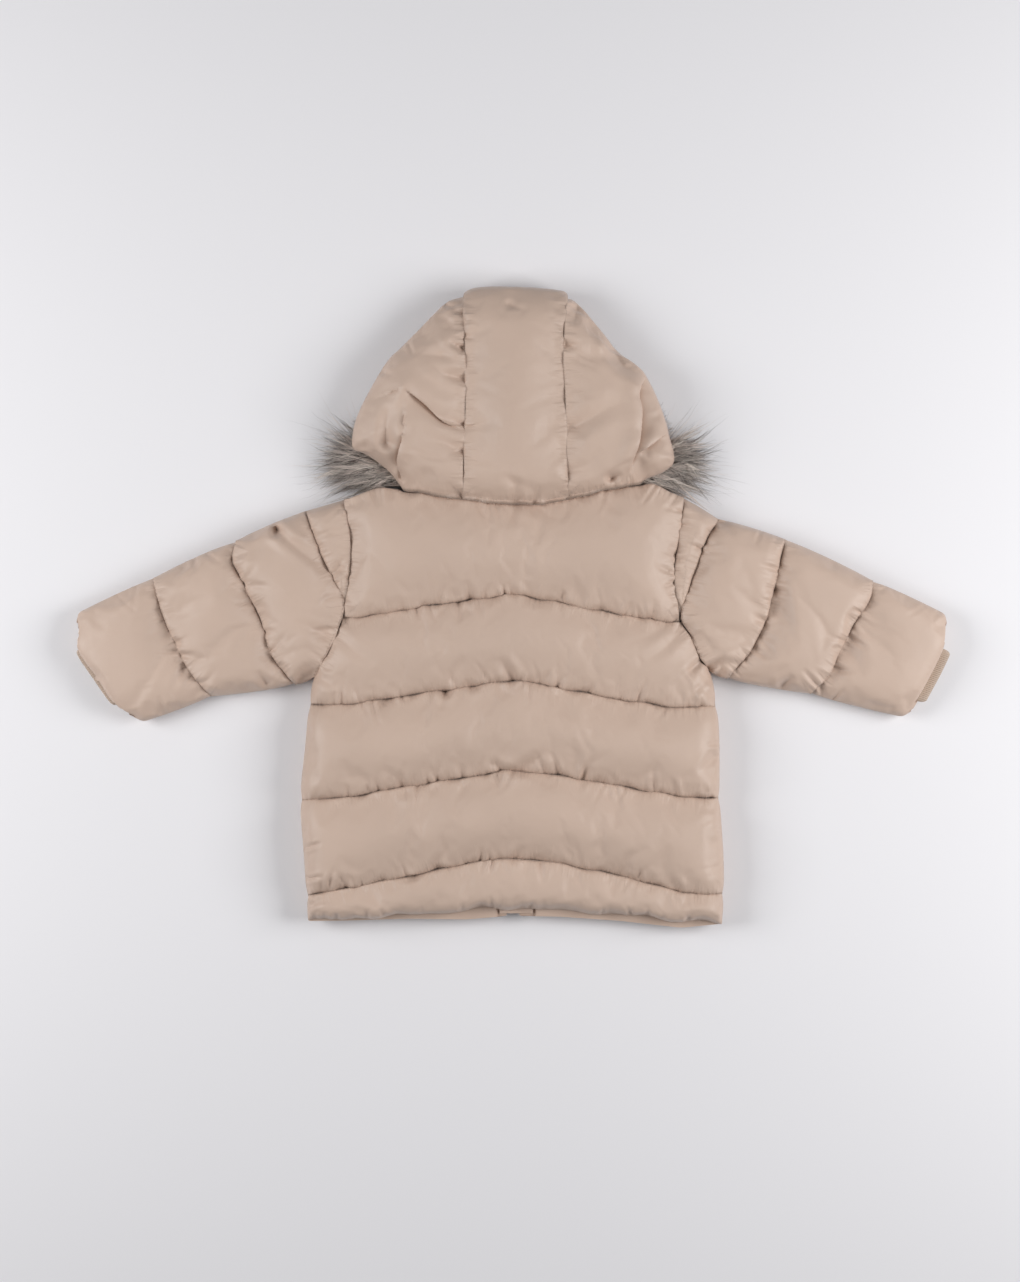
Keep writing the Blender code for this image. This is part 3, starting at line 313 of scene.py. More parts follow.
# Cuffs: where each starts and ends along its mouth, and how far it stands out of it
CUFFS = {"left": {"from": 0.24, "to": 0.80, "out": 2.4}, "right": {"from": 0.27, "to": 0.87, "out": 7.5}}
CUFF_SECTIONS = ((-1.0, 0.72), (-0.8, 0.95), (-0.4, 1.0), (3.0, 1.0), (10.0, 1.0), (20.0, 1.0), (32.0, 1.0))
CUFF_RIBS = 30
CUFF_WALL = 1.5
CUFF_THICK = 6.2
CUFF_ROUND = 9.0
CUFF_STRAIGHT = 12.0
RIB_STEPS = 6
RIB_PITCH = 2.2
RIB_DEPTH = 0.55

# Fur: the strip it grows from, and the long tufts at the hood's two lower corners
FUR_PATH = ((-64, 111), (-84, 117), (-104, 124.5), (-120, 134), (-132, 145), (-135, 157), (-126, 172),
            (-112, 188), (-96, 207), (-74, 231), (-46, 253), (2, 264), (48, 251), (76, 231), (98, 206),
            (113, 186), (127, 168), (135, 151), (133, 137), (121, 127), (104, 123), (84, 119), (66, 111))
FUR_STEPS = 300
FUR_WIDTH = 11.0
FUR_FLOOR = 1.2
FUR_DARK = (0.07, 0.05, 0.042)
FUR_GREY = (1.0, 0.88, 0.81)
FUR_CREAM = (1.0, 0.93, 0.85)
CLUMP_SHADES = (0.0, 0.3, 0.75, 1.0)
STRAND_RINGS = (0.3, 0.6, 0.85)
EDGE_HAIRS = 2600
FUR_CORNERS = {
    "left": {"line": ((-90.0, 113.0), (-110.0, 124.0), (-126.0, 135.0), (-133.0, 145.0)),
             "at": (0.0, 0.35, 0.7, 1.0), "angles": (197.0, 190.0, 182.0, 176.0),
             "lengths": (0.9, 1.2, 1.15, 0.7)},
    "right": {"line": ((90.0, 115.0), (110.0, 121.0), (127.0, 130.0), (137.0, 144.0)),
              "at": (0.0, 0.35, 0.7, 1.0), "angles": (-22.0, -13.0, -2.0, 8.0),
              "lengths": (0.95, 1.15, 1.15, 0.7)},
}
CORNER_FUR = {"fan": 0.2, "loose": 0.9, "length": (26.0, 60.0), "spread": 3.6, "width": 1.1,
              "height": (4.5, 8.0), "rise": (0.0, 14.0), "droop": 6.0, "radius": (0.22, 0.42), "cream": 0.4}
STRAY_FUR = {"fan": 0.5, "loose": 0.0, "length": (52.0, 80.0), "spread": 4.0, "width": 0.5,
             "height": (5.0, 8.0), "rise": (1.0, 20.0), "droop": 3.0, "radius": (0.12, 0.2), "cream": 0.1}
# The shoulders' upper edge, below which no long hair falls
SHOULDERS = {
    "left": ((-260.0, 57.0), (-248.4, 62.6), (-187.2, 88.8), (-152.1, 98.8), (-121.5, 110.0), (-80.0, 110.0)),
    "right": ((80.0, 110.0), (104.0, 110.2), (123.3, 113.4), (153.9, 101.6), (185.4, 82.0), (244.8, 63.8),
              (260.0, 58.0)),
}

# Zip and sewing
ZIP_LOW = -270.0
ZIP_HIGH = 46.0
TOOTH_SIZE = (2.6, 1.15, 2.2)
TOOTH_BEVEL = 0.3
TOOTH_PITCH = 2.5
TOOTH_OFF = 0.9
TOOTH_LOW = ZIP_LOW + 2.6
TOOTH_LEVEL = 5.6
STITCH_LONG = 2.5
STITCH_THICK = 0.5
STITCH_PITCH = 3.3

# Stage, in metres
LIGHT_SIZE = 0.9
LIGHTS = {"key": (1.3, 0.0, 1.0), "fill": (-1.3, 0.05, 1.0), "head": (-0.2, 1.6, 1.4)}
CAMERA = Vector((-0.0027, -0.0297, 3.5))
SENSOR = 36.0
LENS = SENSOR * (CAMERA.z - 0.02) / 1.1538


# Curves and heights

def eased(line, count):
    """A broken line rounded into a curve through its points, with count pieces a span."""
    line = np.array(line, float)
    ends = np.concatenate([[2 * line[0] - line[1]], line, [2 * line[-1] - line[-2]]])
    curve = []
    for before, start, end, after in zip(ends, ends[1:], ends[2:], ends[3:]):
        for t in np.arange(count) / count:
            curve.append(0.5 * (2 * start + (end - before) * t
                                + (2 * before - 5 * start + 4 * end - after) * t ** 2
                                + (3 * start - before - 3 * end + after) * t ** 3))
    return np.array(curve + [line[-1]])


def reached_along(line):
    """How far along a broken line each of its points lies."""
    return np.concatenate([[0.0], np.cumsum(np.hypot(*np.diff(line, axis=0).T))])


def points_along(line, shares):
    """The points of a broken line at shares of its length."""
    line = np.array(line, float)
    reached = reached_along(line)
    at = np.asarray(shares) * reached[-1]
    return np.stack([np.interp(at, reached, line[:, k]) for k in (0, 1)], axis=-1)


def thinned(line):
    """Every third point of a line, and its last one."""
    line = np.array(line)
    return np.concatenate([line[:-1:3], line[-1:]])


def off_spans(points, line):
    """For each span of a line: how each point lies off its nearest place there, and that place's share."""
    for start, end in zip(line, line[1:]):
        step = end - start
        share = np.clip((points - start) @ step / max(step @ step, TINY), 0.0, 1.0)
        yield points - start - share[..., None] * step, share


def distance(points, lines):
    """How far each point lies from the nearest of some broken lines."""
    points = np.asarray(points, float)
    nearest = np.full(points.shape[:-1], np.inf)
    for line in lines:
        for off, _ in off_spans(points, np.array(line, float)):
            nearest = np.minimum(nearest, np.hypot(off[..., 0], off[..., 1]))
    return nearest


def towards(points, line):
    """The way from each point to the nearest place on a broken line, and how far that is."""
    nearest = np.full(len(points), np.inf)
    way = np.zeros(points.shape)
    for off, _ in off_spans(points, line):
        far = np.hypot(off[:, 0], off[:, 1])
        closer = far < nearest
        nearest[closer] = far[closer]
        way[closer] = -off[closer]
    return way, nearest


def near_lines(points, lines, reach):
    """1 on the lines, falling to 0 at reach from them."""
    return np.clip(1.0 - distance(points, lines) / reach, 0.0, 1.0)


def points_near(points, line, margin):
    """The numbers of the points inside a line's bounds, widened by a margin."""
    low, high = line.min(axis=0) - margin, line.max(axis=0) + margin
    return np.flatnonzero(((points > low) & (points < high)).all(axis=1))


def roll(depth, width):
    """How full a padded edge is at this depth in from its stitching: a quarter circle, then level."""
    return np.sqrt(1.0 - (1.0 - np.clip(depth / width, 0.0, 1.0)) ** 2)


def blurred(values, reach):
    """Values along the last axis, each averaged with its neighbours up to a few steps of reach."""
    steps = np.arange(-3 * reach, 3 * reach + 1)
    weight = np.exp(-0.5 * (steps / reach) ** 2)
    wide = np.pad(values, (3 * reach, 3 * reach), mode="reflect", reflect_type="odd")
    return np.convolve(wide, weight / weight.sum(), mode="valid")


def waves(shares, forms, starts):
    """Small waves added up, each with a height, a pace and a start."""
    return sum(high * np.sin(shares * pace + start) for (high, pace), start in zip(forms, starts))


def back_line(name, count):
    """Heights of a line of stitching at count places across the body, with its apex a little rounded."""
    heights = BACK_LINES[name]
    shares = np.linspace(0.0, 1.0, count)
    return blurred(np.interp(shares, ACROSS, heights), APEX_SOFT) + waves(shares, SEAM_WAVES, heights)


def side_at(side, height):
    """The body's edge at a height."""
    curve = eased(BODY_SIDES[side], 5)
    return np.interp(-height, -curve[:, 1], curve[:, 0])


def pinched(height, column):
    """How far the stitching draws the body's edge in at a height."""
    ends = [BACK_LINES[name][column] for name in ("line_1", "line_2", "line_3", "line_4")]
    return sum(SIDE_PINCH * math.exp(-((height - end) / PINCH_REACH) ** 2) for end in ends)


def body_plan(step):
    """Rows of points over the body from hem to neck, with a row on each line of stitching."""
    count = round(BODY_WIDTH / step)
    shares = np.linspace(0.0, 1.0, count)
    names = list(BACK_LINES)
    rows, stitched = [], []
    for lower, upper in zip(names, names[1:]):
        bottom, top = back_line(lower, count), back_line(upper, count)
        if lower == "hem":
            bottom = bottom + waves(shares, HEM_WAVES, (0.0, 1.0))
        steps = round((top - bottom).mean() / step)
        stitched.append(len(rows))
        for k in range(steps + (upper == names[-1])):
            height = bottom + (top - bottom) * k / steps
            left = side_at("left", height[0]) + pinched(height[0], 0)
            right = side_at("right", height[-1]) - pinched(height[-1], -1)
            rows.append(np.stack([left + (right - left) * shares, height], axis=1))
    stitched.append(len(rows) - 1)
    return np.array(rows), stitched


# Pieces

def deselect():
    """Leave nothing selected, in object mode."""
    if bpy.context.object and bpy.context.object.mode != "OBJECT":
        bpy.ops.object.mode_set(mode="OBJECT")
    bpy.ops.object.select_all(action="DESELECT")


def take(piece):
    """Select one piece alone and make it the active one."""
    deselect()
    piece.select_set(True)
    bpy.context.view_layer.objects.active = piece


@contextmanager
def editing(selection="SELECT"):
    """Edit the active piece's mesh, all of it selected unless selection says otherwise."""
    bpy.ops.object.mode_set(mode="EDIT")
    if selection:
        bpy.ops.mesh.select_all(action=selection)
    yield
    bpy.ops.object.mode_set(mode="OBJECT")


def values_of(items, name, width=3, kind=np.float32):
    """One property of each item of a collection, a row for each."""
    values = np.empty(len(items) * width, kind)
    items.foreach_get(name, values)
    return values.reshape(-1, width)


def places_of(piece):
    """A mesh's points, in millimetres."""
    return values_of(piece.data.vertices, "co").astype(float) / MM


def set_places(piece, places):
    """Move a mesh's points to these places, in millimetres."""
    piece.data.vertices.foreach_set("co", (np.asarray(places) * MM).astype(np.float32).ravel())
    piece.data.update()


def selected(piece):
    """Which of a mesh's points are selected."""
    return values_of(piece.data.vertices, "select", 1, bool)[:, 0]


def new_piece(name, places, faces):
    """A piece from points in millimetres and the faces between them."""
    mesh = bpy.data.meshes.new(name)
    mesh.from_pydata((places * MM).tolist(), [], faces)
    piece = bpy.data.objects.new(name, mesh)
    bpy.context.collection.objects.link(piece)
    return piece


def as_pattern(piece):
    """A small piece's points and faces, for copies of it. The piece itself goes."""
    points = places_of(piece)
    faces = [tuple(face.vertices) for face in piece.data.polygons]
    bpy.data.objects.remove(piece)
    return points, faces


def repeated(faces, size, count):
    """The faces of count copies of a pattern with size points."""
    first = (np.arange(count) * size)[:, None]
    return [row for face in faces for row in (first + np.array(face)).tolist()]


def laid_sheet(name, plan, heights, facing=1.0):
    """A grid of cloth laid to a plan, facing up, or down where facing is -1."""
    rows, columns = heights.shape
    deselect()
    bpy.ops.mesh.primitive_grid_add(x_subdivisions=columns - 1, y_subdivisions=rows - 1, size=1.0)
    sheet = bpy.context.object
    sheet.name = sheet.data.name = name
    set_places(sheet, np.concatenate([plan, heights[..., None]], axis=-1).reshape(-1, 3))
    if sum(face.normal.z for face in sheet.data.polygons) * facing < 0.0:
        with editing():
            bpy.ops.mesh.flip_normals()
    return sheet


def apply_modifier(piece, kind, **values):
    """Add a modifier with these values to a piece and apply it."""
    take(piece)
    made = piece.modifiers.new(kind.lower(), kind)
    for name, value in values.items():
        setattr(made, name, value)
    bpy.ops.object.modifier_apply(modifier=made.name)


def refined(sheet):
    """Subdivide a sheet once and give its points."""
    apply_modifier(sheet, "SUBSURF", levels=1, render_levels=1)
    return places_of(sheet)


def face_outwards(piece):
    """Turn a closed piece's faces so that they all point out of it."""
    take(piece)
    with editing():
        bpy.ops.mesh.normals_make_consistent(inside=False)
    places = places_of(piece)
    piece.data.calc_loop_triangles()
    corners = values_of(piece.data.loop_triangles, "vertices", 3, np.int32)
    a, b, c = (places[corners[:, k]] for k in range(3))
    if np.einsum("ij,ij->", a, np.cross(b, c)) < 0.0:
        with editing(None):
            bpy.ops.mesh.flip_normals()


def finish_piece(piece, finish, nodes=(), angle=50.0):
    """Smooth a piece, give it its finish and tell the frame what it is."""
    take(piece)
    bpy.ops.object.shade_smooth_by_angle(angle=math.radians(angle))
    piece.data.materials.clear()
    piece.data.materials.append(finish)
    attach(piece, "garment")
    if nodes:
        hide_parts(*nodes)


# Padded cloth

def weigh(sheet, name, weights):
    """Store a weight for each of a sheet's points, in steps of a tenth."""
    group = sheet.vertex_groups.new(name=name)
    level = np.round(weights.ravel() * 10.0).astype(int)
    for value in range(1, 11):
        members = np.flatnonzero(level == value)
        if len(members):
            group.add(members.tolist(), value / 10.0, "REPLACE")


def settle(sheet, held, gathered, ease, gather):
    """Let padding push the cloth up between its lines of stitching until its spare width puckers."""
    start = places_of(sheet)
    weigh(sheet, "held", held)
    weigh(sheet, "gathered", gathered)
    take(sheet)
    cloth = sheet.modifiers.new("cloth", "CLOTH")
    for name, value in {**FABRIC, "shrink_min": -ease, "shrink_max": -gather}.items():
        setattr(cloth.settings, name, value)
    cloth.settings.effector_weights.gravity = 0.0
    cloth.collision_settings.use_collision = False
    for moment in range(1, SETTLE_FRAMES + 1):
        bpy.context.scene.frame_set(moment)
    bpy.ops.object.modifier_apply(modifier=cloth.name)
    moved = places_of(sheet) - start
    far = np.linalg.norm(moved, axis=1, keepdims=True)
    set_places(sheet, start + moved * np.minimum(1.0, SETTLE_CAP / np.maximum(far, NO_LENGTH)))
    bpy.context.scene.frame_set(1)
    sheet.vertex_groups.clear()


def channel_fill(plan, stitched, near, far):
    """How full each channel is between its two lines of stitching, steeper where the padding has sunk."""
    full = np.zeros(plan.shape[:2])
    for first, last in zip(stitched, stitched[1:]):
        band = plan[first:last + 1]
        rise, fall = (distance(band, [plan[row]]) for row in (first, last))
        full[first:last + 1] = roll(rise, near) * roll(fall, far)
    return full


def crease(points, line, width, depth, ridge):
    """A valley along a line that fades towards its far end, with soft ridges beside it."""
    line = np.array(line, float)
    made = np.zeros(len(points))
    near = points_near(points, line, 5 * width)
    if not len(near):
        return made
    reached = reached_along(line)
    nearest = np.full(len(near), np.inf)
    along = np.zeros(len(near))
    for (off, share), before, after in zip(off_spans(points[near], line), reached, reached[1:]):
        far = np.linalg.norm(off, axis=1)
        closer = far < nearest
        nearest = np.where(closer, far, nearest)
        along = np.where(closer, (before + (after - before) * share) / reached[-1], along)
    fade = (1.0 - along) ** CREASE["taper"]
    cut = np.exp(-((nearest / width) ** CREASE["power"]))
    bowl = np.exp(-((nearest / (CREASE["bowl"] * width)) ** 2))
    valley = CREASE["cut"] * cut + (1.0 - CREASE["cut"]) * bowl
    beside = np.exp(-(((nearest - CREASE["ridge_at"] * width) / (CREASE["ridge"] * width)) ** 2))
    made[near] = fade * depth * (valley - ridge * beside)
    return made


def press(places, folds):
    """Press folds into the cloth."""
    for line, width, depth, ridge in folds:
        places[:, 2] -= crease(places[:, :2], line, width, depth, ridge)


def puckers(points, lines, chance, **changes):
    """Depth of short creases that run out from lines of stitching, with a ridge beside each."""
    form = {**PUCKERS, **changes}
    depth = np.zeros(len(points))
    for line in lines:
        line = np.array(line, float)
        for _ in range(int(reached_along(line)[-1] / form["apart"])):
            share = chance.uniform(0.0, 1.0)
            root = points_along(line, share)
            ahead = points_along(line, min(share + NUDGE, 1.0)) - points_along(line, max(share - NUDGE, 0.0))
            ahead = ahead / max(np.hypot(*ahead), NO_LENGTH)
            side = 1.0 if chance.uniform() < form["upper"] else -1.0
            out = np.array((-ahead[1], ahead[0])) * side + ahead * chance.uniform(*form["slants"])
            root = root + out * form["start"]
            length = form["length"] * chance.uniform(*form["lengths"]) ** 1.5
            width = form["width"] * chance.uniform(*form["widths"])
            deep = form["depth"] * chance.uniform(*form["depths"]) ** 2.2
            depth += crease(points, (root, root + out * length), width, deep, form["ridge"])
    return depth


def draw_in(places, near, way, far, lean):
    """Move points towards a line, most of all those that lie DRAW_REACH off it."""
    shift = lean * far / DRAW_REACH * np.exp(1.0 - far / DRAW_REACH)
    places[near, :2] += way / np.maximum(far, NO_LENGTH)[:, None] * shift[:, None]


def pull_in(places, lines, **changes):
    """Draw the cloth in over lines of stitching, so that the puffs beside them meet in a narrow crease."""
    form = {**SEAM, **changes}
    for line in lines:
        line = thinned(line)
        near = points_near(places[:, :2], line, form["margin"])
        x, y = places[near, 0], places[near, 1]
        way, far = towards(places[near, :2], line)
        lean = np.where(way @ np.array(form["falls"]) >= 0.0, form["lean"], form["other"])
        wander = 1.0 + form["wander"] * np.sin(x / 7.0 + 2.0) * np.sin(y / 9.0 + x / 16.0)
        draw_in(places, near, way, far, lean * wander)
        places[near, 2] -= form["deep"] * np.exp(-((far / form["wide"]) ** 2))
        beside = near[far < form["beside"]]
        places[beside, 2] = np.maximum(places[beside, 2], form["lowest"])


def overlap(places, line, falls, high):
    """Lap the cloth over itself along a line: the side that falls over it stands high, the other lies low."""
    line = eased(line, 3)
    near = points_near(places[:, :2], line, LAP["margin"])
    here = places[near, :2]
    way, far = towards(here, line)
    to_ends = np.minimum(*(np.hypot(*(here - end).T) for end in (line[0], line[-1])))
    fade = np.clip(to_ends / LAP["fade"], 0.0, 1.0)
    over = way @ np.array(falls) >= 0.0
    draw_in(places, near, way, far, np.where(over, *LAP["leans"]) * fade)
    raised = LAP["raised"] * np.exp(-((far - LAP["raised_at"]) / LAP["raised_wide"]) ** 2)
    sunk = LAP["sunk"] * np.exp(-far / LAP["sunk_wide"])
    places[near, 2] += high * fade * np.where(over, raised, -sunk)


def mark_seams(piece, lines):
    """Store each point's place along its nearest line of stitching and how far off it is, for the finish's
    puckers and its painted crease shade.
    """
    points = places_of(piece)[:, :2]
    marks = np.zeros((len(points), 3))
    nearest = np.full(len(points), np.inf)
    for index, line in enumerate(lines):
        line = thinned(line)
        way, far = towards(points, line)
        spread = line[-1] - line[0]
        order = line @ spread
        along = points.sum(axis=1)
        if (np.diff(order) > 0).all():
            along = np.interp((points + way) @ spread, order, reached_along(line))
        closer = far < nearest
        nearest[closer] = far[closer]
        marks[closer] = np.column_stack([along + MARK_STEP * index, far, np.ones(len(far))])[closer]
    layer = piece.data.attributes.new("seam", "FLOAT_VECTOR", "POINT")
    layer.data.foreach_set("vector", marks.astype(np.float32).ravel())


def close_layer(sheet, under, flip=False, pocket=None):
    """Close a sheet with a plain second side at the heights that under gives, and thin out its faces."""
    take(sheet)
    with editing():
        step = (0.0, 0.0, 0.01 if flip else -0.01)
        bpy.ops.mesh.extrude_region_move(TRANSFORM_OT_translate={"value": step})
    chosen = selected(sheet)
    places = places_of(sheet)
    places[chosen, 2] = under(places[chosen, :2])
    set_places(sheet, places)
    marked = sheet.data.attributes.get("seam")
    if marked:
        marks = values_of(marked.data, "vector")
        marks[chosen] = (0.0, FAR, 0.0)
        marked.data.foreach_set("vector", marks.ravel())
    group = sheet.vertex_groups.new(name="second_side")
    group.add(np.flatnonzero(chosen).tolist(), 1.0, "REPLACE")
    face_outwards(sheet)
    if pocket is not None:
        sink_pocket(sheet, pocket)
    apply_modifier(sheet, "DECIMATE", ratio=THINNING, vertex_group="second_side")
    sheet.vertex_groups.clear()


# Finishes

def fill_in(tree, made, values):
    """Give a node's input sockets a value each, or another node's output."""
    for name, value in dict(values).items():
        if isinstance(value, bpy.types.NodeSocket):
            tree.links.new(value, made.inputs[name])
        else:
            made.inputs[name].default_value = value


def node(tree, kind, values=(), **settings):
    """A node with settings and with what goes into its sockets."""
    made = tree.nodes.new(kind)
    for name, value in settings.items():
        setattr(made, name, value)
    fill_in(tree, made, values)
    return made


def maths(tree, operation, *values):
    """A sum, product or share of values."""
    return node(tree, "ShaderNodeMath", enumerate(values), operation=operation).outputs[0]


def mapped(tree, value, low, high, to_low, to_high, **settings):
    """A value moved from one range to another."""
    ranges = {"Value": value, "From Min": low, "From Max": high, "To Min": to_low, "To Max": to_high}
    return node(tree, "ShaderNodeMapRange", ranges, **settings).outputs["Result"]


def noise(tree, place, scale, detail, roughness=0.5):
    """Soft noise over a place."""
    values = {"Vector": place, "Scale": scale, "Detail": detail, "Roughness": roughness}
    return node(tree, "ShaderNodeTexNoise", values).outputs["Fac"]


def stretched(tree, place, by):
    """A place with its three numbers scaled."""
    return node(tree, "ShaderNodeVectorMath", {0: place, 1: by}, operation="MULTIPLY").outputs[0]


def cloth_group():
    """Woven cloth: fine threads, blotches of tone, a faint crinkle, painted shade that darkens the cloth in
    the creases along the seams, and small puckers beside them.
    """
    group = bpy.data.node_groups.get("woven cloth")
    if group:
        return group
    group = bpy.data.node_groups.new("woven cloth", "ShaderNodeTree")
    colour, number = "NodeSocketColor", "NodeSocketFloat"
    for name, kind, default in (("Colour", colour, (0.5, 0.4, 0.3, 1.0)), ("Threads", number, 1500.0),
                                ("Blotch", number, 0.05)):
        group.interface.new_socket(name, in_out="INPUT", socket_type=kind).default_value = default
    for name, kind in (("Colour", colour), ("Roughness", number), ("Height", number)):
        group.interface.new_socket(name, in_out="OUTPUT", socket_type=kind)
    source = group.nodes.new("NodeGroupInput").outputs
    place = node(group, "ShaderNodeTexCoord").outputs["Object"]
    marks = node(group, "ShaderNodeAttribute", attribute_name="seam").outputs["Vector"]
    seam = node(group, "ShaderNodeSeparateXYZ", {0: marks}).outputs

    bands = []
    for direction in ("X", "Y"):
        values = {"Vector": place, "Scale": source["Threads"], "Distortion": 0.6, "Detail": 0.0}
        bands.append(node(group, "ShaderNodeTexWave", values, bands_direction=direction).outputs["Fac"])
    weave = maths(group, "MULTIPLY", *bands)
    crinkle = noise(group, place, 70.0, 4.0, 0.6)

    blotches = mapped(group, noise(group, place, 14.0, 3.0, 0.55), 0.25, 0.75, -1.0, 1.0)
    blotched = maths(group, "MULTIPLY_ADD", blotches, source["Blotch"], 1.0)
    # Painted shade: within about 3 mm of a line of stitching the colour is darkened by up to half, standing
    # in for the shade inside the seam's crease.
    sunk = maths(group, "MULTIPLY", mapped(group, seam["Y"], 0.4, 3.2, 1.0, 0.0), seam["Z"])
    blotches_and_painted_shade = maths(group, "MULTIPLY_ADD", sunk, -0.5, blotched)
    tone = node(group, "ShaderNodeVectorMath", {0: source["Colour"], "Scale": blotches_and_painted_shade}, operation="SCALE")

    streaks, reach = (noise(group, stretched(group, marks, by), 1.0, 2.0)
                      for by in ((0.36, 0.05, 0.0), (0.11, 0.0, 3.0)))
    share = maths(group, "DIVIDE", seam["Y"], mapped(group, reach, 0.32, 0.68, 2.0, 19.0))
    fade = mapped(group, share, 0.0, 1.0, 1.0, 0.0, interpolation_type="SMOOTHSTEP")
    height = maths(group, "MULTIPLY_ADD", weave, 0.08, crinkle)
    puckered = maths(group, "MULTIPLY_ADD", maths(group, "MULTIPLY", fade, streaks), 11.0, height)
    rough = mapped(group, crinkle, 0.3, 0.7, 0.44, 0.56)
    node(group, "NodeGroupOutput", {"Colour": tone.outputs[0], "Roughness": rough, "Height": puckered})
    return group


def new_material(name):
    """A material, its tree of nodes and its shader."""
    made = bpy.data.materials.new(name)
    made.use_nodes = True
    return made, made.node_tree, made.node_tree.nodes["Principled BSDF"]


def cloth_finish(name):
    """One of the woven finishes, made the first time it is asked for."""
    if name in bpy.data.materials:
        return bpy.data.materials[name]
    colour, threads, blotch, sheen, bump = CLOTHS[name]
    if isinstance(colour, str):
        colour = getattr(bpy.context.scene.parka_cloth, colour)
    made, tree, shader = new_material(name)
    values = {"Colour": (*colour, 1.0), "Threads": threads, "Blotch": blotch}
    cloth = node(tree, "ShaderNodeGroup", values, node_tree=cloth_group()).outputs
    raised = node(tree, "ShaderNodeBump", {"Strength": bump, "Distance": 0.0006, "Height": cloth["Height"]})
    fill_in(tree, shader, {"Base Color": cloth["Colour"], "Roughness": cloth["Roughness"],
                           "Normal": raised.outputs["Normal"], "Sheen Weight": sheen, "Sheen Roughness": 0.4})
    return made


def fur_finish():
    """Hair: each strand's own tone, a little glossy."""
    if "fur hair" in bpy.data.materials:
        return bpy.data.materials["fur hair"]
    made, tree, shader = new_material("fur hair")
    tone = node(tree, "ShaderNodeVertexColor", layer_name="strand_tone").outputs["Color"]
    fill_in(tree, shader, {"Base Color": tone, "Roughness": 0.5, "Specular IOR Level": 0.35})
    return made


def nickel_finish():
    """Dull nickel with fine scratches."""
    if "nickel" in bpy.data.materials:
        return bpy.data.materials["nickel"]
    made, tree, shader = new_material("nickel")
    place = node(tree, "ShaderNodeTexCoord").outputs["Object"]
    rough = mapped(tree, noise(tree, place, 900.0, 3.0), 0.0, 1.0, 0.28, 0.5)
    fill_in(tree, shader, {"Base Color": (0.55, 0.53, 0.50, 1.0), "Metallic": 1.0, "Roughness": rough})
    return made


# Body

def quilt_back(plan, stitched):
    """The back: five channels between chevrons of stitching, inflated by its padding."""
    quilt = [plan[row] for row in stitched]
    sides = [plan[:, 0], plan[:, -1]]
    border, armholes = [plan[0]], []
    for armpit, edge in zip(ARMPITS.values(), sides):
        border.append(edge[edge[:, 1] < armpit])
        armholes.append(edge[edge[:, 1] > armpit + ARMPIT_CLEAR])
    fill = channel_fill(plan, stitched, SUNK_ROLL, CHANNEL_ROLL) * roll(distance(plan, sides), EDGE_ROLL)
    base = SEAM_TOP + (EDGE_TOP - SEAM_TOP) * near_lines(plan, border, EDGE_FADE)
    base = base + ARMHOLE_LIFT * near_lines(plan, armholes, EDGE_FADE)
    top = base + (BACK_TOP - BACK_SPARE - base) * fill
    held = np.zeros(top.shape)
    held[stitched] = 1.0
    held[:, (0, -1)] = 1.0
    sheet = laid_sheet("quilted_back", plan, top)
    settle(sheet, held, near_lines(plan, quilt + sides, BACK_GATHER), ease=0.012, gather=0.055)
    places = refined(sheet)
    chance = np.random.default_rng(11)
    places[:, 2] -= puckers(places[:, :2], quilt[1:], chance)
    places[:, 2] -= puckers(places[:, :2], quilt[:1], chance, length=9.0)
    places[:, 2] -= puckers(places[:, :2], sides, chance, apart=14.0)
    press(places, BACK_FOLDS)
    pull_in(places, quilt[1:-1])
    pull_in(places, armholes, lean=2.6, other=2.6)
    pull_in(places, quilt[-1:], lean=2.0, other=2.0)
    mark_seams(sheet, quilt[1:] + armholes)
    set_places(sheet, places)
    close_layer(sheet, lambda points: np.full(len(points), MID))
    finish_piece(sheet, cloth_finish("shell cloth"), ["back"])


def front_form(plan, side):
    """Rows of points over one front, from its neck down, each from the zip to the side seam."""
    out = SIDES[side]
    neck = np.array(FRONT_NECK)
    edge = plan[:, EDGE_COLUMN[side]]
    share = (edge[-1, 1] - edge[:, 1]) / (edge[-1, 1] - edge[0, 1])
    level = np.linspace(0.0, 1.0, FRONT_COLUMNS)
    inner = out * ZIP_HALF
    across = inner + (edge[:, :1] - inner) * level
    upper = np.interp(inner + (edge[-1, 0] - inner) * level, neck[:, 0], neck[:, 1])
    lower = np.interp(0.5 + 0.5 * out * level, ACROSS, FRONT_HEM)
    return np.stack([across, upper + (lower - upper) * share[:, None]], axis=-1)


def quilt_front(side, plan, stitched):
    """A front under the back: flat where it rests, with shallow channels in its face."""
    out = SIDES[side]
    form = front_form(plan, side)
    outline = [form[:, -1], form[0], form[-1]]
    grooves = [form[row] for row in stitched[1:-1]]
    rim = roll(distance(form, outline), FRONT_ROLL)
    groove = roll(distance(form, grooves), FRONT_ROLL)
    zip_edge = roll(np.abs(form[..., 0] - out * ZIP_HALF), FACING_ROLL)
    under = np.maximum(FRONT_EDGE * (1.0 - rim), FACING_LIFT * (1.0 - zip_edge))
    under = np.maximum(under, GROOVE * (1.0 - groove) * rim)
    sheet = laid_sheet(f"quilted_front_{side}", form, under, facing=-1.0)
    places = refined(sheet)
    chance = np.random.default_rng(21 + EDGE_COLUMN[side])
    ripple = puckers(places[:, :2], grooves + outline[:1], chance, depth=0.9)
    places[:, 2] = np.maximum(places[:, 2] + ripple * np.clip(places[:, 2] / 2.0, 0.0, 1.0), 0.0)
    set_places(sheet, places)

    def top_of(points):
        """Level under the back, and lower beside the zip to hold the wind flap."""
        return np.where(points[:, 0] * out < abs(FLAP[side]) + FLAP_CLEAR, FACING_TOP, MID - GAP)

    close_layer(sheet, top_of, flip=True)
    finish_piece(sheet, cloth_finish("shell cloth"), [f"front_{side}"])


# Sleeves

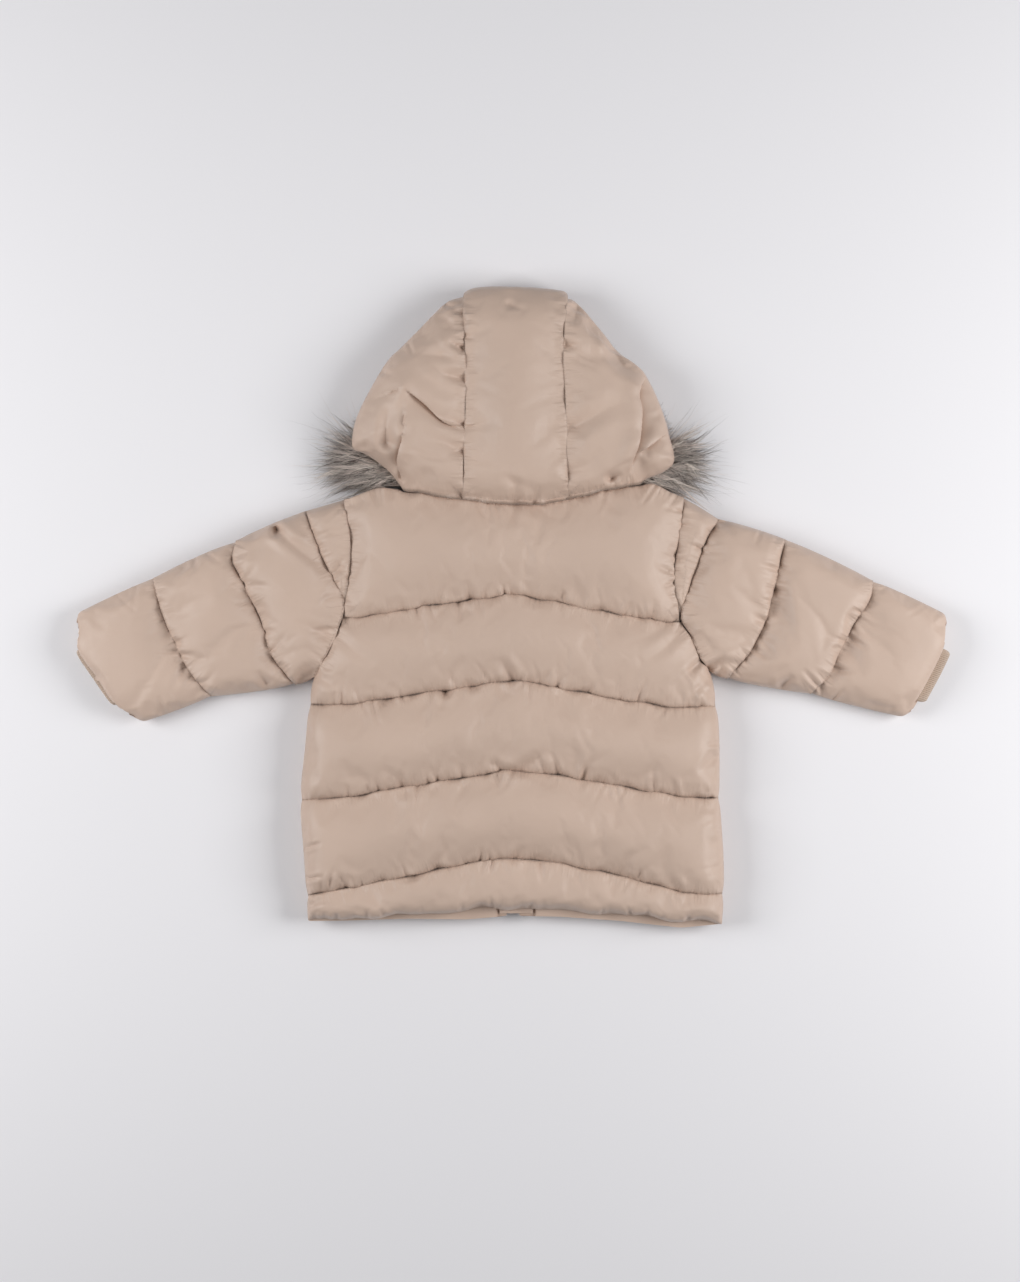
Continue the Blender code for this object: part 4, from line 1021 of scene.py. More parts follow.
def sleeve_plan(side, body):
    """Rows of points from armhole to mouth, each from the sleeve's upper edge to its lower one."""
    edge = body[::-1, EDGE_COLUMN[side]]
    pit = (side_at(side, ARMPITS[side]), ARMPITS[side])
    head = np.concatenate([edge[edge[:, 1] > ARMPITS[side] + 2.0], [pit]]) + (SIDES[side] * GAP, 0.0)
    shares = np.linspace(0.0, 1.0, SLEEVE_COLUMNS)
    at_edge = np.clip(1.0 - np.minimum(shares, 1.0 - shares) / 0.25, 0.0, 1.0) ** 1.5
    curves = [head, *(eased(ring, 6) for ring in SLEEVE_RINGS[side])]
    rings = [points_along(curve, shares) for curve in curves]
    rows, stitched, puffs = [], [], []
    for near, far, steps, puff, bulge in zip(rings, rings[1:], SLEEVE_STEPS, SLEEVE_PUFFS, SLEEVE_BULGES):
        stitched.append(len(rows))
        for k in range(steps + (far is rings[-1])):
            t = k / steps
            line = near + (far - near) * t
            away = line - line[len(line) // 2]
            away = away / np.maximum(np.hypot(away[:, 0], away[:, 1]), NO_LENGTH)[:, None]
            rows.append(line + away * (at_edge * bulge * math.sin(math.pi * t) ** 0.8)[:, None])
            puffs.append(puff)
    stitched.append(len(rows) - 1)
    for row in range(len(rows) - MOUTH_ROWS, len(rows)):
        line = rows[row]
        depth = np.linalg.norm(rows[-1].mean(axis=0) - line.mean(axis=0)) / MOUTH_ROUND
        inset = MOUTH_ROUND * (1.0 - math.sqrt(1.0 - max(1.0 - depth, 0.0) ** 2))
        rows[row] = line + (line.mean(axis=0) - line) * inset / (np.linalg.norm(line[-1] - line[0]) / 2)
    return np.array(rows), stitched, np.array(puffs)


def quilt_sleeve(side, body):
    """A sleeve pressed flat: inflated between its rings of stitching, with a pocket for the cuff."""
    plan, stitched, puffs = sleeve_plan(side, body)
    rings = [plan[row] for row in stitched]
    edges = [plan[:, 0], plan[:, -1]]
    to_rim = distance(plan, [plan[:, 0], plan[7:, -1]])
    reach = np.interp(np.arange(len(plan)), (0, stitched[1]), (SLEEVE_HEAD_ROLL, SLEEVE_ROLL))[:, None]
    full = channel_fill(plan, stitched, SLEEVE_ROLL, SUNK_ROLL)
    level = SLEEVE_RING + (puffs[:, None] - SLEEVE_SPARE - SLEEVE_RING) * full
    level = level + ARMHOLE_LIFT * near_lines(plan, [plan[0][3:-4]], SLEEVE_GATHER)
    level[-1] = MOUTH_TOP
    low = SLEEVE_EDGE + 1.0
    top = low + (level - low) * roll(to_rim, reach)
    sheet = laid_sheet(f"quilted_sleeve_{side}", plan, top)
    held = (distance(plan, rings + edges) < SLEEVE_HELD).astype(float)
    settle(sheet, held, near_lines(plan, rings, SLEEVE_GATHER), ease=0.02, gather=0.06)
    places = refined(sheet)
    chance = np.random.default_rng(31 if side == "left" else 32)
    places[:, 2] -= puckers(places[:, :2], rings[:-1], chance, apart=6.0)
    places[:, 2] -= puckers(places[:, :2], edges, chance, apart=16.0)
    press(places, SLEEVE_FOLDS[side])
    out, lowest = SIDES[side], SLIT_LEVEL + 3.0
    pull_in(places, rings[1:-1], falls=(out, -0.5), lean=2.6, other=2.0, lowest=lowest)
    pull_in(places, rings[:1], falls=(out, 0.0), lean=2.6, other=2.6, lowest=lowest)
    mark_seams(sheet, rings[:-1])
    set_places(sheet, places)

    def under(points):
        """Flat on the floor between raised edges, and shallow rings."""
        rim = roll(distance(points, edges), SLEEVE_UNDER_ROLL)
        groove = 1.0 - roll(distance(points, rings[1:-1]), FRONT_ROLL)
        mouth = near_lines(points, rings[-1:], MOUTH_FADE)
        return SLEEVE_UNDER * (1.0 - rim) + GROOVE * groove * rim + MOUTH_LIFT * mouth * rim

    close_layer(sheet, under, pocket=plan)
    finish_piece(sheet, cloth_finish("shell cloth"), [f"sleeve_{side}"])


def way_in(plan):
    """Which way leads from the middle of a sleeve's mouth into the sleeve."""
    inward = plan[-4].mean(axis=0) - plan[-1].mean(axis=0)
    return inward / np.linalg.norm(inward)


def sink_pocket(sheet, plan):
    """Open the mouth of a closed sleeve and sink a flat pocket into it."""
    mouth, inward = plan[-1], way_in(plan)
    with editing(None):
        bpy.ops.mesh.select_mode(type="FACE")
        bpy.ops.mesh.select_all(action="DESELECT")
    centres = values_of(sheet.data.polygons, "center") / MM
    normals = values_of(sheet.data.polygons, "normal")
    facing_out = np.flatnonzero((np.abs(normals[:, 2]) < 0.6) & (normals[:, :2] @ inward < -0.3))
    for index in facing_out[distance(centres[facing_out, :2], [mouth]) < 1.2].tolist():
        sheet.data.polygons[index].select = True
    middle = mouth.mean(axis=0)
    for number, (step, squeeze) in enumerate(POCKET_STEPS):
        with editing(None):
            bpy.ops.mesh.extrude_region_move(TRANSFORM_OT_translate={"value": (0.0, 0.0, 0.0)})
        chosen = selected(sheet)
        places = places_of(sheet)
        if number == 0:
            ends = [(mouth[0], mouth[0]), (mouth[-1], mouth[-1])]
            lens = np.clip(distance(places[chosen, :2], ends) / POCKET_ROUND, 0.0, 1.0)
            above = places[chosen, 2] > SLIT_LEVEL
            places[chosen, 2] = SLIT_LEVEL + np.where(above, 1.0, -1.0) * (POCKET_END + POCKET_SWELL * lens)
        places[chosen, :2] = middle + (places[chosen, :2] - middle) * squeeze + inward * step
        set_places(sheet, places)
    with editing(None):
        bpy.ops.mesh.select_mode(type="VERT")


# Hood

def patch(low, high, near, far, columns, rows):
    """A grid inside four edges: low and high run across, near and far run up."""
    u, v = np.linspace(0.0, 1.0, columns), np.linspace(0.0, 1.0, rows)
    low, high = points_along(low, u)[None], points_along(high, u)[None]
    near, far = points_along(near, v)[:, None], points_along(far, v)[:, None]
    u, v = u[None, :, None], v[:, None, None]
    corners = ((1 - u) * (1 - v) * low[:, :1] + u * (1 - v) * low[:, -1:]
               + (1 - u) * v * high[:, :1] + u * v * high[:, -1:])
    return (1 - u) * near + u * far + (1 - v) * low + v * high - corners


def neck_line(start, end):
    """The hood's seam with the body, between two places across it."""
    heights = BACK_LINES["neck"]
    across = np.linspace(side_at("left", heights[0]), side_at("right", heights[-1]), NECK_COUNT)
    line = np.linspace(start, end, 30)
    return np.stack([line, np.interp(line, across, back_line("neck", NECK_COUNT)) + GAP], axis=1)


def hood_edges():
    """The gusset's two seams, its crown, and the curve of each side panel's free edge."""
    gusset = np.array(GUSSET)
    seams = {"left": eased(gusset[:, (1, 0)], 6), "right": eased(gusset[:, (2, 0)], 6)}
    edges = {"seams": seams, "crown": eased(GUSSET_CROWN, 6)}
    for side, table in HOOD_SIDES.items():
        corner = neck_line(table[0][0], SIDES[side] * (NECK_REACH[side] - NECK_INSET))[-1]
        free = [(x, low) for x, low, high in table if abs(x) >= NECK_REACH[side] - 2.0]
        lower = [(x, low) for x, low in free if low > corner[1] + 1.0]
        upper = [(x, high) for x, low, high in table[::-1]]
        edges[side] = eased([tuple(corner), *lower, *upper], 6)
    return edges


def hood_form(edges):
    """Functions that give the hood's upper and under heights over points."""
    neck = [neck_line(NECK_INSET - NECK_REACH["left"], NECK_REACH["right"] - NECK_INSET)]
    outline = [edges["left"], edges["right"], edges["crown"]]
    seams = list(edges["seams"].values())

    def top_of(points):
        """Full in the middle, lower at the free edge, the neck and the two seams."""
        depth = distance(points, outline)
        to_neck = roll(distance(points, neck), HOOD_NECK_ROLL)
        top = HOOD_EDGE + (HOOD_TOP - HOOD_SPARE - HOOD_EDGE) * roll(depth, HOOD_ROLL)
        top = HOOD_NECK + (top - HOOD_NECK) * np.where(top > HOOD_NECK, to_neck, 1.0)
        seam = 1.0 - roll(distance(points, seams), HOOD_SEAM_ROLL)
        return top - HOOD_SEAM_DEPTH * seam * roll(depth, HOOD_SEAM_FADE) * to_neck

    def under_of(points):
        """The folded rim of the face opening, and the recess inside it."""
        depth = distance(points, outline)
        rim = HOOD_RIM + (HOOD_EDGE_UNDER - HOOD_RIM) * (1.0 - roll(depth, HOOD_UNDER_ROLL))
        fade = np.clip((depth - RIM_WIDTH) / RIM_FADE, 0.0, 1.0)
        fade = fade * fade * (3.0 - 2.0 * fade)
        under = rim + (HOOD_RECESS - rim) * fade
        return under + (MID + GAP - under) * near_lines(points, neck, NECK_STEP) * (fade > 0)

    return top_of, under_of


def hood_panels(edges):
    """Rows of points over the gusset and the two side panels."""
    seams, crown = edges["seams"], edges["crown"]
    gusset = []
    for (side, out), end in zip(SIDES.items(), (crown[0], crown[-1])):
        line = seams[side] - (out * GAP / 2, 0.0)
        gusset.append(np.concatenate([line[line[:, 1] < end[1] - 1.0], end[None]]))
    panels = {"centre": patch(neck_line(gusset[0][0, 0], gusset[1][0, 0]), crown, *gusset, 33, 64)}
    for side, out in SIDES.items():
        split = 1.0 - HOOD_CORNER / reached_along(edges[side])[-1]
        free = points_along(edges[side], np.linspace(0.0, split, 120))
        upper = points_along(edges[side], np.linspace(1.0, split, 20))
        seam = seams[side] + (out * GAP / 2, 0.0)
        seam = np.concatenate([seam[seam[:, 1] <= upper[0, 1]], upper[:1]])
        panels[side] = patch(neck_line(seam[0, 0], free[0, 0]), upper, seam, free, 30, 62)
    return panels


def quilt_hood():
    """The hood: a gusset between two side panels, over the folded rim of the face opening."""
    edges = hood_edges()
    top_of, under_of = hood_form(edges)
    seams = list(edges["seams"].values())
    for name, plan in hood_panels(edges).items():
        border = [plan[0], plan[-1], plan[:, 0], plan[:, -1]]
        sheet = laid_sheet(f"padded_hood_{name}", plan, top_of(plan))
        held = (distance(plan, border) < HOOD_HELD).astype(float)
        settle(sheet, held, near_lines(plan, border, HOOD_GATHER), ease=0.015, gather=0.045)
        places = refined(sheet)
        chance = np.random.default_rng(41 + len(name))
        places[:, 2] -= puckers(places[:, :2], border, chance, apart=12.0, length=13.0)
        press(places, HOOD_FOLDS)
        for line, falls, high in HOOD_LAPS:
            overlap(places, line, falls, high)
        pull_in(places, seams, lean=2.5, other=2.5, deep=1.5)
        places[:, 2] = np.maximum(places[:, 2], under_of(places[:, :2]) + HOOD_LEAST)
        mark_seams(sheet, [*seams, plan[0]])
        set_places(sheet, places)
        close_layer(sheet, lambda points: np.minimum(under_of(points), top_of(points) - HOOD_LAYER))
        finish_piece(sheet, cloth_finish("shell cloth"), [f"hood_{name}"])


# Cuffs

def knit_cuff(side, plan):
    """The ribbed knit cuff: a flat tube in the sleeve's mouth whose folded edge shows beyond it."""
    form = CUFFS[side]
    half = CUFF_RIBS * RIB_STEPS + 1
    share = np.linspace(0.0, 1.0, half)
    edge = points_along(plan[-1], form["from"] + (form["to"] - form["from"]) * share)
    chord = edge[0] + (edge[-1] - edge[0]) * share[:, None]
    from_end = np.minimum(share, 1.0 - share) * CUFF_RIBS * RIB_PITCH
    arch = roll(from_end, CUFF_ROUND)
    rib = 0.5 * RIB_DEPTH * (1.0 - np.cos(2.0 * math.pi * CUFF_RIBS * share))
    rows = []
    for inside, full in CUFF_SECTIONS:
        at = inside if inside >= 0.0 else inside * form["out"]
        straight = np.clip((at + form["out"]) / CUFF_STRAIGHT, 0.0, 1.0)
        drawn = at * roll(from_end, CUFF_ROUND / 2) if at < 0.0 else np.full(half, at)
        line = edge + (chord - edge) * straight + way_in(plan) * drawn[:, None]
        high = (CUFF_THICK / 2 * full - rib) * arch
        over = np.column_stack([line, SLIT_LEVEL + high])
        below = np.column_stack([line, SLIT_LEVEL - high])
        rows.append(np.concatenate([over, below[-2::-1]]))
    rows = np.array(rows)
    cuff = laid_sheet(f"knit_cuff_{side}", rows[..., :2], rows[..., 2])
    take(cuff)
    with editing():
        bpy.ops.mesh.remove_doubles(threshold=0.02 * MM)
        bpy.ops.mesh.normals_make_consistent(inside=False)
    apply_modifier(cuff, "SOLIDIFY", thickness=CUFF_WALL * MM, offset=-1.0)
    face_outwards(cuff)
    finish_piece(cuff, cloth_finish("rib knit"), [f"cuff_{side}"])
    around = np.linalg.norm(np.diff(rows[3], axis=0), axis=1).sum() * MM


# Fur

def strand_pattern():
    """One tapering strand of unit length and root width, with rings along it: its points and faces."""
    deselect()
    bpy.ops.mesh.primitive_cone_add(vertices=3, radius1=1.0, radius2=0.0, depth=1.0, location=(0.0, 0.0, 0.5))
    cone = bpy.context.object
    bpy.ops.object.transform_apply(location=True)
    for level in STRAND_RINGS:
        with editing():
            bpy.ops.mesh.bisect(plane_co=(0.0, 0.0, level), plane_no=(0.0, 0.0, 1.0))
    points, faces = as_pattern(cone)
    return points * MM, faces


def grow(name, hairs):
    """A piece of fur: a copy of the strand, bent and coloured, for each hair."""
    points, faces = strand_pattern()
    t = points[:, 2]
    width = np.hypot(points[:, 0], points[:, 1])
    angle = np.arctan2(points[:, 1], points[:, 0])
    taper = np.where(width > NO_LENGTH, (1.0 - t) ** 0.6, 0.0)
    heading = hairs["heading"]
    side = np.stack([-heading[:, 1], heading[:, 0]], axis=1)
    length, bend, radius = (hairs[key][:, None] for key in ("length", "bend", "radius"))
    across, upward = radius * taper * np.cos(angle), radius * taper * np.sin(angle)
    wave = bend * length * t ** 2 + hairs["wave"][:, None] * np.sin(t * 7.0 + hairs["phase"][:, None]) * t
    flat = (hairs["root"][:, None, :2] + heading[:, None, :] * (length * t)[..., None]
            + side[:, None, :] * (wave + across)[..., None])
    height = (hairs["root"][:, 2:3] + hairs["rise"][:, None] * np.sin(np.minimum(t * 2.2, 2.4))
              - hairs["droop"][:, None] * t ** 2 + upward)
    if "lowest" in hairs:
        lowest = hairs["lowest"]
        flat[..., 1] = np.maximum(flat[..., 1], np.interp(flat[..., 0], lowest[:, 0], lowest[:, 1]) + across)
    height = np.maximum(height, FUR_FLOOR + radius * taper + upward)
    places = np.concatenate([flat, height[..., None]], axis=-1).reshape(-1, 3)
    fur = new_piece(name, places, repeated(faces, len(t), len(length)))
    late = np.clip((t[None, :, None] - 0.62) / 0.38, 0.0, 1.0) ** 1.5
    band = np.exp(-((t[None, :, None] - 0.45) / 0.3) ** 2) * hairs["band"][:, None, None]
    tone = hairs["tone"][:, None, :] * (1.0 - band) + np.array(FUR_CREAM) * band
    tone = tone * (1.0 - late) + hairs["tip"][:, None, :] * late
    colours = np.concatenate([tone, np.ones((*tone.shape[:2], 1))], axis=-1)
    layer = fur.data.color_attributes.new("strand_tone", "FLOAT_COLOR", "POINT")
    layer.data.foreach_set("color", colours.astype(np.float32).ravel())
    finish_piece(fur, fur_finish(), angle=180.0)
    return fur


def tone_of(shade):
    """A hair's colour between the fur's dark and its grey."""
    return np.array(FUR_DARK) + (np.array(FUR_GREY) - np.array(FUR_DARK)) * shade


def clumps(chance, count, each, spots, form):
    """Hairs in clumps: each clump leaves one of the spots along its heading and draws to a common tip."""
    pick = chance.uniform(0.0, 1.0, count)
    start = points_along(spots["line"], pick) + chance.normal(0.0, form["spread"], (count, 2))
    angle = np.interp(pick, spots["at"], np.radians(spots["angles"])) + chance.normal(0.0, form["fan"], count)
    length = chance.uniform(*form["length"], count) * np.interp(pick, spots["at"], spots["lengths"])
    tip = start + np.stack([np.cos(angle), np.sin(angle)], axis=1) * length[:, None]
    clump = np.repeat(np.arange(count), each)
    size = len(clump)
    root = start[clump] + chance.normal(0.0, form["width"], (size, 2))
    way = tip[clump] + chance.normal(0.0, form["loose"], (size, 2)) - root
    reach = np.hypot(way[:, 0], way[:, 1])
    shade = chance.choice(CLUMP_SHADES, count)[clump] + chance.normal(0.0, 0.17, size)
    tone = tone_of(np.clip(shade, 0.0, 1.1)[:, None])
    low, high = form["height"]
    return {
        "root": np.column_stack([root, low + (high - low) * chance.uniform(0.0, 1.0, count)[clump]]),
        "heading": way / reach[:, None],
        "length": reach * chance.uniform(0.45, 1.03, size),
        "bend": chance.normal(0.0, 0.15, count)[clump] + chance.normal(0.0, 0.02, size),
        "wave": chance.normal(0.0, 2.0, count)[clump] + chance.normal(0.0, 0.5, size),
        "phase": chance.uniform(0.0, 6.0, count)[clump],
        "rise": chance.uniform(*form["rise"], count)[clump] * chance.uniform(0.85, 1.1, size),
        "droop": chance.uniform(0.0, form["droop"], count)[clump],
        "radius": chance.uniform(*form["radius"], size),
        "tone": tone,
        "tip": tone * chance.uniform(0.12, 0.6, (size, 1)),
        "band": np.clip(chance.normal(form["cream"], 0.45, count)[clump]
                        + chance.normal(0.0, 0.1, size), 0.0, 1.0),
    }


def edge_hairs(chance, path, normals, lengths):
    """Single hairs to one side of the fur's strip."""
    pick = chance.uniform(0.0, 1.0, EDGE_HAIRS)
    where = points_along(path[1:-1], pick)
    normal = normals[(pick * (len(path) - 3)).astype(int) + 1]
    swing = chance.normal(0.0, 0.3, EDGE_HAIRS)
    heading = np.stack([normal[:, 0] - swing * normal[:, 1], normal[:, 1] + swing * normal[:, 0]], axis=1)
    tone = tone_of(chance.uniform(0.0, 1.0, (EDGE_HAIRS, 1)))
    return {
        "root": np.column_stack([where + chance.normal(0.0, 2.0, (EDGE_HAIRS, 2)),
                                 chance.uniform(4.0, 7.2, EDGE_HAIRS)]),
        "heading": heading / np.linalg.norm(heading, axis=1)[:, None],
        "length": chance.uniform(*lengths, EDGE_HAIRS),
        "bend": chance.normal(0.0, 0.15, EDGE_HAIRS),
        "wave": chance.normal(0.0, 0.5, EDGE_HAIRS),
        "phase": chance.uniform(0.0, 6.0, EDGE_HAIRS),
        "rise": chance.uniform(-1.0, 0.0, EDGE_HAIRS),
        "droop": chance.uniform(0.0, 5.0, EDGE_HAIRS),
        "radius": chance.uniform(0.22, 0.34, EDGE_HAIRS),
        "tone": tone,
        "tip": tone * 0.5,
        "band": np.clip(chance.normal(0.35, 0.3, EDGE_HAIRS), 0.0, 1.0),
    }


def both(first, second):
    """Two lots of hairs as one."""
    return {key: np.concatenate([first[key], second[key]]) for key in first}


def fur_trim():
    """The fur along the face edge: long at its two lower corners, short where the hood lies on it."""
    form = bpy.context.scene.parka_fur
    path = points_along(eased(FUR_PATH, 8), np.linspace(0.0, 1.0, FUR_STEPS))
    ahead = np.gradient(path, axis=0)
    ahead = ahead / np.linalg.norm(ahead, axis=1)[:, None]
    out = np.stack([-ahead[:, 1], ahead[:, 0]], axis=1)
    strip = np.stack([path - out * FUR_WIDTH / 2, path + out * FUR_WIDTH / 2], axis=1)
    backing = laid_sheet("fur_backing", strip, np.full((FUR_STEPS, 2), HOOD_RIM - 0.4))
    apply_modifier(backing, "SOLIDIFY", thickness=1.2 * MM, offset=-1.0)
    face_outwards(backing)
    for seed, (side, spots) in enumerate(FUR_CORNERS.items(), 51):
        chance = np.random.default_rng(seed)
        thick = clumps(chance, form.clumps, form.strands, spots, CORNER_FUR)
        stray = clumps(chance, form.strays, 1, spots, STRAY_FUR)
        grow(f"fur_corner_{side}", {**both(thick, stray), "lowest": np.array(SHOULDERS[side])})
    chance = np.random.default_rng(53)
    outer = edge_hairs(chance, path, out, (9.0, 14.0))
    inner = edge_hairs(chance, path, -out, (16.0, 27.0))
    grow("fur_edge", both(outer, inner))
    finish_piece(backing, cloth_finish("fur backing"), ["fur_trim"])
    reached_along(path)[-1] * MM


# Zip

def zip_fastener():
    """The zip between the fronts: interlocked teeth, and finishes for the tapes, slider and pull."""
    deselect()
    bpy.ops.mesh.primitive_cube_add(size=1.0)
    tooth = bpy.context.object
    tooth.scale = Vector(TOOTH_SIZE) * MM
    bpy.ops.object.transform_apply(scale=True)
    apply_modifier(tooth, "BEVEL", width=TOOTH_BEVEL * MM, segments=2)
    points, faces = as_pattern(tooth)
    number = np.arange(int((ZIP_HIGH - ZIP_LOW - 4.0) / TOOTH_PITCH * 2))
    middles = np.stack([np.where(number % 2, -TOOTH_OFF, TOOTH_OFF), TOOTH_LOW + number * TOOTH_PITCH / 2,
                        np.full(len(number), TOOTH_LEVEL)], axis=1)
    places = (middles[:, None] + points).reshape(-1, 3)
    teeth = new_piece("zip_teeth_row", places, repeated(faces, len(points), len(number)))
    finish_piece(teeth, cloth_finish("moulded teeth"), ["zip_teeth"])
    tape, metal = cloth_finish("zip tape"), nickel_finish()
    for name, slot, finish in (("zip_tape_left", "tape", tape), ("zip_tape_right", "tape", tape),
                               ("zip_slider", "metal", metal), ("zip_pull", "metal", metal)):
        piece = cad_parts[name]
        piece.data.materials.clear()
        piece.data.materials.append(finish)


def wind_flap():
    """The padded strip behind the zip, whose end shows at the hem."""
    across = np.linspace(FLAP["left"], FLAP["right"], 14)
    down = np.linspace(ZIP_LOW - 5.0, ZIP_HIGH - 2.0, 130)
    plan = np.stack(np.meshgrid(across, down), axis=-1)
    inside = distance(plan, [plan[0], plan[-1], plan[:, 0], plan[:, -1]])
    wave = 0.25 * np.sin(plan[..., 1] / 9.0) * np.cos(plan[..., 0] / 5.0 + plan[..., 1] / 23.0)
    under = FACING_TOP + GAP + 1.1 * (1.0 - roll(inside, 5.0)) + wave * roll(inside, 8.0)
    sheet = laid_sheet("quilted_wind_flap", plan, np.maximum(under, FACING_TOP + GAP), facing=-1.0)
    close_layer(sheet, lambda points: np.full(len(points), MID - GAP), flip=True)
    finish_piece(sheet, cloth_finish("shell cloth"), ["wind_flap"])


# Stitching

def stitch_lines():
    """Each line of stitching in sight, with the pieces it goes through."""
    body, stitched = body_plan(GRID)
    lines = [(body[row], ("quilted_back",)) for row in stitched[1:-1]]
    for side in SIDES:
        plan, rings, _ = sleeve_plan(side, body)
        lines += [(plan[row], (f"quilted_sleeve_{side}",)) for row in rings[1:-1]]
    neck = neck_line(-96.0, 108.0)
    lines.append((neck - (0.0, 1.8), ("quilted_back",)))
    lines.append((neck + (0.0, 1.6), ("padded_hood_centre", "padded_hood_left", "padded_hood_right")))
    return lines


def stitching():
    """Threads along the lines of stitching, each lying on the cloth."""
    deselect()
    bpy.ops.mesh.primitive_uv_sphere_add(segments=6, ring_count=5, radius=0.5,
                                         rotation=(0.0, math.pi / 2, 0.0))
    thread = bpy.context.object
    bpy.ops.object.transform_apply(location=True, rotation=True, scale=True)
    thread.scale = (STITCH_LONG, STITCH_THICK, STITCH_THICK)
    bpy.ops.object.transform_apply(scale=True)
    points, faces = as_pattern(thread)
    points = points * MM
    graph = bpy.context.evaluated_depsgraph_get()
    places = []
    for line, names in stitch_lines():
        trees = [BVHTree.FromObject(bpy.data.objects[name], graph) for name in names]
        count = int(reached_along(line)[-1] / STITCH_PITCH)
        middles, starts, ends = (points_along(line, (np.arange(count) + part) / count)
                                 for part in (0.5, 0.1, 0.9))
        for (x, y), (along, up) in zip(middles, ends - starts):
            hits = [tree.ray_cast(Vector((x, y, 100.0)) * MM, Vector((0.0, 0.0, -1.0)))[0] for tree in trees]
            found = [hit.z / MM for hit in hits if hit]
            if found:
                cos, sin = (along, up) / np.hypot(along, up)
                turned = points @ np.array(((cos, sin, 0.0), (-sin, cos, 0.0), (0.0, 0.0, 1.0)))
                places.append(turned + (x, y, max(found) + 0.05))
    made = new_piece("stitching", np.concatenate(places), repeated(faces, len(points), len(places)))
    finish_piece(made, cloth_finish("thread"), angle=70.0)


# Settings

def colour_setting(name, description, default):
    """A colour that the panel shows."""
    return bpy.props.FloatVectorProperty(name=name, description=description, subtype="COLOR", size=3,
                                         min=0.0, max=1.0, default=default)


class ParkaCloth(bpy.types.PropertyGroup):
    """Colours of the parka's cloth."""

    shell_colour: colour_setting("Shell colour", "Colour of the outer cloth", (0.535, 0.402, 0.325))
    rib_colour: colour_setting("Rib colour", "Colour of the knit cuffs", (0.47, 0.365, 0.29))
    tape_colour: colour_setting("Tape colour", "Colour of the zip's tapes and teeth", (0.40, 0.30, 0.25))


class ParkaFur(bpy.types.PropertyGroup):
    """How much fur grows along the face edge."""

    clumps: bpy.props.IntProperty(
        name="Clumps", description="Clumps of hair at each lower corner of the hood", default=300, min=1)
    strands: bpy.props.IntProperty(
        name="Strands", description="Hairs in a clump", default=13, min=1)
    strays: bpy.props.IntProperty(
        name="Strays", description="Single long hairs at each corner", default=420, min=1)


class ParkaStage(bpy.types.PropertyGroup):
    """Floor and light."""

    floor_colour: colour_setting("Floor colour", "Colour of the floor", (0.77, 0.76, 0.78))
    key_power: bpy.props.FloatProperty(
        name="Key light", description="Power of the large soft light", unit="POWER", default=20.6, min=0.0)
    balance: bpy.props.FloatProperty(
        name="Fill", description="Power of the light at the left as a share of the key", subtype="FACTOR",
        default=0.84, min=0.0, max=2.0)
    head: bpy.props.FloatProperty(
        name="Head", description="Power of the light beyond the hood as a share of the key", subtype="FACTOR",
        default=0.03, min=0.0, max=2.0)
    sky: bpy.props.FloatProperty(
        name="Sky", description="Strength of the even light from all round", default=0.22, min=0.0)


class PARKA_OT_body(bpy.types.Operator):
    """Quilt the back and the two fronts"""

    bl_idname = "parka.body"
    bl_label = "Body"

    def execute(self, context):
        quilt_back(*body_plan(GRID))
        for side in SIDES:
            quilt_front(side, *body_plan(FRONT_GRID))
        return {"FINISHED"}


class PARKA_OT_sleeves(bpy.types.Operator):
    """Quilt the two sleeves"""

    bl_idname = "parka.sleeves"
    bl_label = "Sleeves"

    def execute(self, context):
        body = body_plan(GRID)[0]
        for side in SIDES:
            quilt_sleeve(side, body)
        return {"FINISHED"}


class PARKA_OT_cuffs(bpy.types.Operator):
    """Knit the two cuffs"""

    bl_idname = "parka.cuffs"
    bl_label = "Cuffs"

    def execute(self, context):
        body = body_plan(GRID)[0]
        for side in SIDES:
            knit_cuff(side, sleeve_plan(side, body)[0])
        return {"FINISHED"}


class PARKA_OT_hood(bpy.types.Operator):
    """Pad the three panels of the hood"""

    bl_idname = "parka.hood"
    bl_label = "Hood"

    def execute(self, context):
        quilt_hood()
        return {"FINISHED"}


class PARKA_OT_fur(bpy.types.Operator):
    """Grow the fur along the hood's face edge"""

    bl_idname = "parka.fur"
    bl_label = "Fur"

    def execute(self, context):
        fur_trim()
        return {"FINISHED"}


class PARKA_OT_zip(bpy.types.Operator):
    """Make the zip and the wind flap behind it"""

    bl_idname = "parka.zip"
    bl_label = "Zip"

    def execute(self, context):
        zip_fastener()
        wind_flap()
        return {"FINISHED"}


class PARKA_OT_stitching(bpy.types.Operator):
    """Sew the lines of stitching in sight"""

    bl_idname = "parka.stitching"
    bl_label = "Stitching"

    def execute(self, context):
        stitching()
        return {"FINISHED"}


